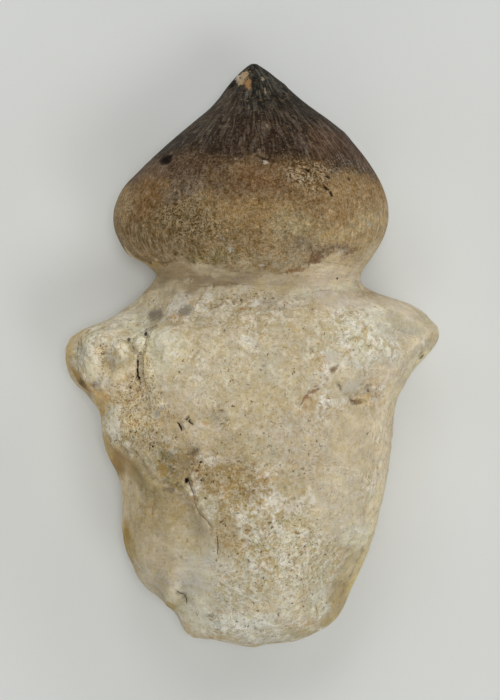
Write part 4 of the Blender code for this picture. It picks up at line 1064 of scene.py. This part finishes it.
def paintOf(red, green, blue):
    return (*linear(red, green, blue), 1.0)


# start plus each value times its weight
def added(tree, start, *parts):
    total = start
    for value, weight in parts:
        total = calc(tree, "MULTIPLY_ADD", value, weight, total)
    return total


def between(tree, share, first, second):
    return addNode(tree, "ShaderNodeMix", {0: share, 2: first, 3: second},
                   data_type="FLOAT").outputs[0]


# The place shaken by a noise, which breaks up round and straight shapes drawn from it
def ruffled(tree, place, size, reach):
    made = addNode(tree, "ShaderNodeTexNoise", {"Vector": place, "Scale": 1.0 / size,
                                                "Detail": 1.0})
    off = vector(tree, "SUBTRACT", made.outputs["Color"], (0.5, 0.5, 0.5))
    return vector(tree, "ADD", place, scaled(tree, off, reach))


fossilFinish = {
    "wrinkleSpacing": 0.50,      # mm
    "wrinkleLength": 2.0,
    "wormSpacing": 0.45,
    "wrinkleShade": 0.24,        # from the valleys' shade to the ridges'
    "capWrinkleShade": -0.22,
    "wrinkleBump": 0.11,         # mm
    "boneBump": 0.09,
    "white": (250, 247, 236),
    "ochre": (200, 158, 86),
    "umber": (126, 88, 38),
    "vein": (142, 106, 56),
    "fleck": (196, 166, 122),
    "poreDark": (88, 60, 26),
    "crackBrown": (112, 80, 42),
    "crackDark": (26, 19, 12),
    "shine": 0.13,
    "hollowShade": 0.25,         # painted shade: what the deepest recesses take off the colour; raised edges gain as much as a painted highlight
    "poreStrength": 0.8,
    "spotStrength": 0.8,
    "bumpStrength": 0.8,
    # what the colours are multiplied by in turn, in ragged patches
    "coolCast": (0.96, 1.01, 1.08, 1.0),
    "warmCast": (1.04, 0.99, 0.90, 1.0),
    "plainCast": (1.0, 1.0, 1.0, 1.0),
    "yellowCast": (1.01, 0.985, 0.88, 1.0),
}


def enamelPaint(tree, opts, place, grain, coarse):
    upright = uprightWrinkles(tree, place, opts["wrinkleSpacing"], opts["wrinkleLength"],
                              width=0.16, seed=2.0)
    curl = noiseAt(tree, place, opts["wormSpacing"], detail=1.5, distortion=0.9, seed=5.0)
    ridge = between(tree, surfaceValue(tree, "worms"), upright, ridgeAt(tree, curl, width=0.16))
    wrinkles = surfaceValue(tree, "wrinkles")
    depth = calc(tree, "MULTIPLY", wrinkles, calc(tree, "MULTIPLY_ADD", coarse, 1.0, 0.5))
    pinholes = noiseAt(tree, place, 0.42, detail=4.0, roughness=0.75, seed=17.0)
    pinholes = ramp(tree, pinholes, 0.41, 0.32)
    speckle = noiseAt(tree, place, 0.36, detail=2.0, roughness=0.6, seed=15.0)
    mottle = added(tree, -0.55, (grain, 0.34), (coarse, 0.38), (speckle, 0.36), (pinholes, -0.13))
    shade = calc(tree, "MULTIPLY", mottle, calc(tree, "MULTIPLY_ADD", wrinkles, -0.30, 1.0))
    # the cap's wrinkles are dark lines, the rest of the crown's light ones
    lineShade = ramp(tree, surfaceValue(tree, "cap"), 0.35, 0.65, opts["wrinkleShade"],
                     opts["capWrinkleShade"])
    shade = calc(tree, "MULTIPLY_ADD", calc(tree, "SUBTRACT", ridge, 0.42),
                 calc(tree, "MULTIPLY", depth, lineShade), shade)
    colour = shifted(tree, surfaceColour(tree, "crownTint"), shade)
    tone = noiseAt(tree, place, 0.7, detail=4.0, roughness=0.65, seed=49.0)
    cast = mixed(tree, ramp(tree, tone, 0.40, 0.60), opts["coolCast"], opts["warmCast"])
    colour = vector(tree, "MULTIPLY", colour, cast)
    fleckNoise = noiseAt(tree, place, 0.45, detail=4.0, roughness=0.75, seed=12.0)
    fleck = calc(tree, "MULTIPLY", ramp(tree, fleckNoise, 0.58, 0.67),
                 calc(tree, "MULTIPLY_ADD", ridge, 0.25, 0.12))
    colour = mixed(tree, fleck, colour, paintOf(*opts["fleck"]))
    height = calc(tree, "MULTIPLY", calc(tree, "MULTIPLY_ADD", grain, 0.4, ridge), depth)
    height = added(tree, height, (coarse, 0.8), (pinholes, -0.4))
    height = calc(tree, "MULTIPLY", height, opts["wrinkleBump"] / opts["boneBump"])
    return colour, calc(tree, "MULTIPLY_ADD", ridge, -0.1, 0.72), height


# Lines along the level curves of a noise, broken up by another, as flakes and worm trails end
def brokenLines(tree, place, size, width, seed):
    curve = noiseAt(tree, place, size, detail=2.0, roughness=0.55, distortion=1.1, seed=seed)
    gaps = noiseAt(tree, place, size * 0.8, detail=2.0, seed=seed + 2.5)
    return calc(tree, "MULTIPLY", ridgeAt(tree, curve, width), ramp(tree, gaps, 0.46, 0.56)), curve


def bonePaint(tree, opts, place, grain, coarse, flakes):
    crustValue = surfaceValue(tree, "crust")
    stainValue = surfaceValue(tree, "stain")
    poreShare = surfaceValue(tree, "pores")
    rough = calc(tree, "MAXIMUM", crustValue, poreShare)
    crust = layerPatches(tree, place, "crust")
    flakeEnds, flakeCurve = brokenLines(tree, place, 0.75, 0.05, 29.0)
    trails, trailCurve = brokenLines(tree, place, 0.36, 0.09, 52.0)
    specks = noiseAt(tree, place, 0.3, detail=3.0, roughness=0.7, seed=21.0)
    specks = ramp(tree, specks, 0.60, 0.70)
    tone = noiseAt(tree, place, 1.1, detail=5.0, roughness=0.62, seed=63.0)
    cast = mixed(tree, ramp(tree, tone, 0.44, 0.58), opts["plainCast"], opts["yellowCast"])
    colour = vector(tree, "MULTIPLY", surfaceColour(tree, "rootTint"), cast)
    # each layer: where it lies, the value that adds to it, how strong with that value and without
    for share, value, most, least, paint in (
            (layerPatches(tree, place, "stain"), stainValue, 0.60, 0.02, "ochre"),
            (crust, crustValue, 0.50, 0.06, "white"),
            (ramp(tree, flakes, 0.50, 0.62), crustValue, 0.70, 0.02, "white"),
            (ramp(tree, flakes, 0.48, 0.37), stainValue, 0.60, 0.02, "ochre"),
            (ramp(tree, flakeCurve, 0.50, 0.53), crustValue, 0.35, 0.03, "white"),
            (flakeEnds, rough, 0.45, 0.25, "vein"),
            (trails, poreShare, 0.70, 0.06, "vein"),
            (specks, stainValue, 0.45, 0.04, "umber")):
        strength = calc(tree, "MULTIPLY_ADD", value, most, least)
        colour = mixed(tree, calc(tree, "MULTIPLY", share, strength), colour,
                       paintOf(*opts[paint]))

    # fibres run down the root, layers across it and round the neck
    downPlace = vector(tree, "MULTIPLY", place, (1.0, 0.16, 1.0))
    fibre = noiseAt(tree, downPlace, 0.34, detail=4.0, roughness=0.7, distortion=0.2, seed=33.0)
    acrossPlace = vector(tree, "MULTIPLY", place, (0.16, 1.0, 0.16))
    layer = noiseAt(tree, acrossPlace, 0.30, detail=4.0, roughness=0.7, distortion=0.35, seed=36.0)
    strand = calc(tree, "MULTIPLY", calc(tree, "SUBTRACT", fibre, 0.5),
                  surfaceValue(tree, "fibres"))
    strand = calc(tree, "MULTIPLY_ADD", calc(tree, "SUBTRACT", layer, 0.5),
                  surfaceValue(tree, "layers"), strand)
    colour = scaled(tree, colour, calc(tree, "MULTIPLY_ADD", strand, 1.0, 1.0))

    shifty = ruffled(tree, place, 0.3, 0.9)
    tinyPores = scatteredPores(tree, shifty, 0.42, 0.26,
                               calc(tree, "MULTIPLY_ADD", poreShare, 0.75, -0.05))
    widePores = scatteredPores(tree, shifty, 1.3, 0.26,
                               calc(tree, "MULTIPLY_ADD", poreShare, 0.5, 0.03), seed=4.0)
    pores = calc(tree, "MAXIMUM", tinyPores, widePores)
    colour = mixed(tree, calc(tree, "MULTIPLY", pores, opts["poreStrength"]), colour,
                   paintOf(*opts["poreDark"]))
    # some places are worn nearly smooth
    worn = ramp(tree, noiseAt(tree, place, 2.6, detail=3.0, seed=81.0), 0.40, 0.62, 1.25, 0.55)
    weight = calc(tree, "MULTIPLY", calc(tree, "MULTIPLY_ADD", rough, 0.62, 0.24), worn)
    light = calc(tree, "MULTIPLY", added(tree, -0.55, (grain, 0.58), (coarse, 0.52)), weight)
    colour = deepened(tree, colour, light)
    height = added(tree, 0.0, (pores, -0.7), (crust, 0.3), (flakes, 1.0), (coarse, 1.0),
                   (grain, 0.3), (ramp(tree, flakeCurve, 0.49, 0.53), 0.35),
                   (ramp(tree, trailCurve, 0.46, 0.56), 0.25))
    height = calc(tree, "MULTIPLY", height, calc(tree, "MULTIPLY_ADD", crustValue, 0.6, 0.5))
    height = added(tree, height, (strand, 0.8))
    return colour, calc(tree, "MULTIPLY_ADD", grain, 0.15, 0.76), height


# Spots, pits and cracks over the colour, and where the pits and the cracks are
def markedPaint(tree, opts, place, colour, grain, flakes):
    spotShare = surfaceValue(tree, "spotShare")
    ragged = ramp(tree, added(tree, -1.4, (spotShare, 1.0), (flakes, 1.7), (grain, 1.1)),
                  0.1, 0.7)
    ragged = calc(tree, "MULTIPLY", ragged, ramp(tree, spotShare, 0.05, 0.4))
    colour = mixed(tree, calc(tree, "MULTIPLY", ragged, opts["spotStrength"]), colour,
                   surfaceColour(tree, "spotTint"))

    brown, black = paintOf(*opts["crackBrown"]), paintOf(*opts["crackDark"])
    offset = addNode(tree, "ShaderNodeAttribute", attribute_name="pitOffset").outputs["Vector"]
    reach = added(tree, -0.8, (vector(tree, "LENGTH", offset), 1.0), (flakes, 1.6))
    dark = surfaceValue(tree, "pitDark")
    pit = calc(tree, "MULTIPLY", ramp(tree, reach, 1.2, 0.6), dark)
    colour = mixed(tree, pit, colour, mixed(tree, ramp(tree, dark, 0.55, 0.85), brown, black))

    # the darkest cracks are whole lines, the others are broken up
    gap = added(tree, -0.9, (surfaceValue(tree, "crackGap"), 1.0), (flakes, 1.8))
    dark = surfaceValue(tree, "crackDark")
    whole = ramp(tree, dark, 0.6, 0.85)
    broken = ramp(tree, noiseAt(tree, place, 0.45, detail=2.0, seed=40.0), 0.44, 0.56)
    crack = calc(tree, "MULTIPLY", ramp(tree, calc(tree, "ABSOLUTE", gap), 1.3, 0.4),
                 calc(tree, "MULTIPLY", dark, calc(tree, "MAXIMUM", whole, broken)))
    colour = mixed(tree, crack, colour, mixed(tree, whole, brown, black))
    return colour, pit, crack


def makeFossilMaterial(opts):
    material = bpy.data.materials.new("fossilToothAndBone")
    material.use_nodes = True
    tree = material.node_tree
    shader = tree.nodes["Principled BSDF"]
    place = placeInMm(tree)
    grain = noiseAt(tree, place, 0.15, detail=1.0, roughness=0.6, seed=1.7)
    coarse = noiseAt(tree, place, 0.8, detail=4.0, roughness=0.65, distortion=0.3, seed=6.1)
    flakes = noiseAt(tree, place, 0.62, detail=4.0, roughness=0.64, distortion=1.2, seed=27.0)
    crownColour, crownRoughness, crownHeight = enamelPaint(tree, opts, place, grain, coarse)
    boneColour, boneRoughness, boneHeight = bonePaint(tree, opts, place, grain, coarse, flakes)
    enamel = ramp(tree, added(tree, -0.7, (surfaceValue(tree, "enamel"), 1.0), (flakes, 1.4)),
                  0.22, 0.78)
    colour = mixed(tree, enamel, boneColour, crownColour)
    # painted shade in recesses and painted highlight on raised edges: the colour is scaled by how
    # deep each point lies below its surroundings
    paintedCavityShade = calc(tree, "MULTIPLY_ADD", surfaceValue(tree, "cavity"), -opts["hollowShade"], 1.0)
    colour = scaled(tree, colour, paintedCavityShade)
    colour, pit, crack = markedPaint(tree, opts, place, colour, grain, flakes)
    feed(tree, shader.inputs["Base Color"], colour)
    feed(tree, shader.inputs["Roughness"], between(tree, enamel, boneRoughness, crownRoughness))
    shader.inputs["Specular IOR Level"].default_value = opts["shine"]
    height = between(tree, enamel, boneHeight, crownHeight)
    height = added(tree, height, (crack, -1.0), (pit, -1.0))
    bump = addNode(tree, "ShaderNodeBump", {"Height": height, "Strength": opts["bumpStrength"],
                                            "Distance": opts["boneBump"] * mm})
    feed(tree, shader.inputs["Normal"], bump.outputs[0])
    return material


fossilMaterial = makeFossilMaterial(fossilFinish)
print("fossil material")


toothRelief = {
    "Wrinkle Depth": 0.055,      # of the enamel's wrinkles, mm
    "Wrinkle Spacing": 0.75,
    "Crust Height": 0.07,        # of the white crust over the bone
    "Grain Depth": 0.10,         # of the bone's own roughness
    "Swell Depth": 0.18,         # of its wider lumps
    "Pore Depth": 0.15,
    "Pore Width": 0.32,
    "Pore Spacing": 0.9,
    "Seed": 7,
}


def makeReliefTree(opts):
    tree = bpy.data.node_groups.new("toothSurfaceRelief", "GeometryNodeTree")
    face = tree.interface
    face.new_socket("Geometry", in_out="INPUT", socket_type="NodeSocketGeometry")
    for name in opts:
        kind = "NodeSocketInt" if name == "Seed" else "NodeSocketFloat"
        face.new_socket(name, in_out="INPUT", socket_type=kind)
    face.new_socket("Material", in_out="INPUT", socket_type="NodeSocketMaterial")
    face.new_socket("Geometry", in_out="OUTPUT", socket_type="NodeSocketGeometry")
    given = addNode(tree, "NodeGroupInput").outputs
    place = placeInMm(tree)
    enamel = surfaceValue(tree, "enamel")
    bone = calc(tree, "SUBTRACT", 1.0, enamel)

    # enamel wrinkles, a size up from those of the material
    upright = uprightWrinkles(tree, place, given["Wrinkle Spacing"], 2.4, width=0.2, seed=31.0)
    upright = calc(tree, "MULTIPLY", upright, surfaceValue(tree, "wrinkles"))
    wrinkle = calc(tree, "MULTIPLY", calc(tree, "SUBTRACT", upright, 1.0), given["Wrinkle Depth"])

    # crust and rough bone
    crust = calc(tree, "MULTIPLY", layerPatches(tree, place, "crust"), given["Crust Height"])
    rough = noiseAt(tree, place, 1.1, detail=4.0, roughness=0.6, seed=14.0)
    roughShare = calc(tree, "MULTIPLY_ADD", surfaceValue(tree, "crust"), 0.8, 0.3)
    rough = calc(tree, "MULTIPLY", calc(tree, "SUBTRACT", rough, 0.75), 2.0)
    rough = calc(tree, "MULTIPLY", rough, calc(tree, "MULTIPLY", roughShare, given["Grain Depth"]))
    boneHeight = calc(tree, "ADD", calc(tree, "SUBTRACT", crust, given["Crust Height"]), rough)
    swell = noiseAt(tree, place, 2.8, detail=2.0, roughness=0.5, distortion=0.4, seed=51.0)
    swell = calc(tree, "MULTIPLY", calc(tree, "SUBTRACT", swell, 0.75), 2.0)
    boneHeight = calc(tree, "MULTIPLY_ADD", swell, given["Swell Depth"], boneHeight)
    boneHeight = calc(tree, "MULTIPLY", boneHeight,
                      calc(tree, "MULTIPLY_ADD", surfaceValue(tree, "neck"), -0.65, 1.0))

    # pores sit where points fall, the closer together the higher the pores value; the density is
    # in points to a square metre
    density = calc(tree, "MULTIPLY_ADD", surfaceValue(tree, "pores"), 0.85, 0.06)
    density = calc(tree, "MULTIPLY", density, calc(tree, "GREATER_THAN", bone, 0.5))
    apart = calc(tree, "MULTIPLY", given["Pore Spacing"], mm)
    points = addNode(tree, "GeometryNodeDistributePointsOnFaces",
                     {"Mesh": given["Geometry"], "Distance Min": apart, "Density Max": 3.0e6,
                      "Density Factor": density, "Seed": given["Seed"]},
                     distribute_method="POISSON")
    near = addNode(tree, "GeometryNodeProximity", {0: points.outputs["Points"]},
                   target_element="POINTS")
    away = calc(tree, "DIVIDE", near.outputs["Distance"], mm)
    width = calc(tree, "MULTIPLY", given["Pore Width"],
                 calc(tree, "MULTIPLY_ADD", noiseAt(tree, place, 1.3, seed=44.0), 2.0, -0.35))
    pore = ramp(tree, calc(tree, "DIVIDE", away, calc(tree, "MAXIMUM", width, 0.1)), 1.0, 0.25)
    pore = calc(tree, "MULTIPLY", pore, bone)

    height = between(tree, enamel, boneHeight, wrinkle)
    height = calc(tree, "SUBTRACT", height, calc(tree, "MULTIPLY", pore, given["Pore Depth"]))
    offset = scaled(tree, addNode(tree, "GeometryNodeInputNormal").outputs[0],
                    calc(tree, "MULTIPLY", height, mm))
    moved = addNode(tree, "GeometryNodeSetPosition", {"Geometry": given["Geometry"],
                                                      "Offset": offset})
    whole = addNode(tree, "GeometryNodeRealizeInstances", {0: moved.outputs[0]})
    dressed = addNode(tree, "GeometryNodeSetMaterial",
                      {"Geometry": whole.outputs[0], "Material": given["Material"]})
    addNode(tree, "NodeGroupOutput", {0: dressed.outputs[0]})
    return tree


def applyTree(piece, tree, values):
    modifier = piece.modifiers.new(tree.name, "NODES")
    modifier.node_group = tree
    for socket in tree.interface.items_tree:
        if socket.in_out == "INPUT" and socket.name in values:
            modifier[socket.identifier] = values[socket.name]
    settle(piece)


# The tooth keeps to its solid's box and to the floor it lies on
def keepInside(piece):
    places, _ = readPoints(piece.data)
    low, high = (np.array(corner) / mm for corner in cadBox)
    writePoints(piece.data, np.clip(places, low, high))


paintTooth(tooth)
carveMarks(tooth)
print("cracks, pits and ledges carved")
applyTree(tooth, makeReliefTree(toothRelief), {**toothRelief, "Material": fossilMaterial})
print("wrinkles, crust and pores raised")
thin(tooth, toothMesh["faceBudget"])
keepInside(tooth)
paintTooth(tooth)
drawMarks(tooth)
tooth.data.shade_smooth()
print("tooth thinned and painted:", len(tooth.data.polygons), "faces")


studio = {
    "floorWidth": 2.4,       # m
    "floorColour": (0.797, 0.812, 0.784),
    "floorRoughness": 0.9,
    "floorShine": 0.2,
    "worldColour": (0.97, 0.99, 1.0),
    "worldPower": 0.04,
    # each light: where it stands in m, its power in W and its width in m
    "lights": {
        "overheadLight": ((0.02, 0.01, 0.85), 1.73, 0.15),
        "rightFrontLight": ((0.299, -0.299, 0.795), 0.89, 0.30),
        "frontLight": ((0.0, -0.423, 0.795), 0.46, 0.30),
        "backLight": ((0.0, 0.423, 0.795), 0.91, 0.30),
        "leftBackLight": ((-0.299, 0.299, 0.795), 0.37, 0.30),
        "rightBackLight": ((0.473, 0.473, 0.602), 0.71, 0.40),
        "lowBackLight": ((0.0, 0.834, 0.337), 1.39, 0.45),
        "lowRightLight": ((0.834, 0.0, 0.337), 0.90, 0.45),
        "lowLeftLight": ((-0.834, 0.0, 0.337), 0.67, 0.45),
        "lowFrontLight": ((0.0, -0.834, 0.337), 0.94, 0.45),
    },
}


def makeFloor(opts):
    mesh = bpy.data.meshes.new("paleSurface")
    half = opts["floorWidth"] / 2
    corners = [(-half, -half, 0), (half, -half, 0), (half, half, 0), (-half, half, 0)]
    mesh.from_pydata(corners, [], [(0, 1, 2, 3)])
    floor = addObject("paleSurface", mesh)
    finish = bpy.data.materials.new("paleSurface")
    finish.use_nodes = True
    shader = finish.node_tree.nodes["Principled BSDF"]
    shader.inputs["Base Color"].default_value = (*opts["floorColour"], 1.0)
    shader.inputs["Roughness"].default_value = opts["floorRoughness"]
    shader.inputs["Specular IOR Level"].default_value = opts["floorShine"]
    mesh.materials.append(finish)


def makeLight(name, place, power, size):
    data = bpy.data.lights.new(name, "AREA")
    data.shape = "DISK"
    data.size = size
    data.energy = power
    lamp = addObject(name, data)
    lamp.location = place
    lamp.rotation_mode = "QUATERNION"
    lamp.rotation_quaternion = lamp.location.to_track_quat("Z", "Y")


def makeWorld(opts):
    world = bpy.data.worlds.new("softRoom")
    bpy.context.scene.world = world
    world.use_nodes = True
    background = world.node_tree.nodes["Background"]
    background.inputs["Color"].default_value = (*opts["worldColour"], 1.0)
    background.inputs["Strength"].default_value = opts["worldPower"]


makeFloor(studio)
for name, (place, power, size) in studio["lights"].items():
    makeLight(name, place, power, size)
makeWorld(studio)
bpy.context.scene.view_settings.view_transform = "Standard"
print("floor and light")

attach(tooth, "root")
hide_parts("tooth")
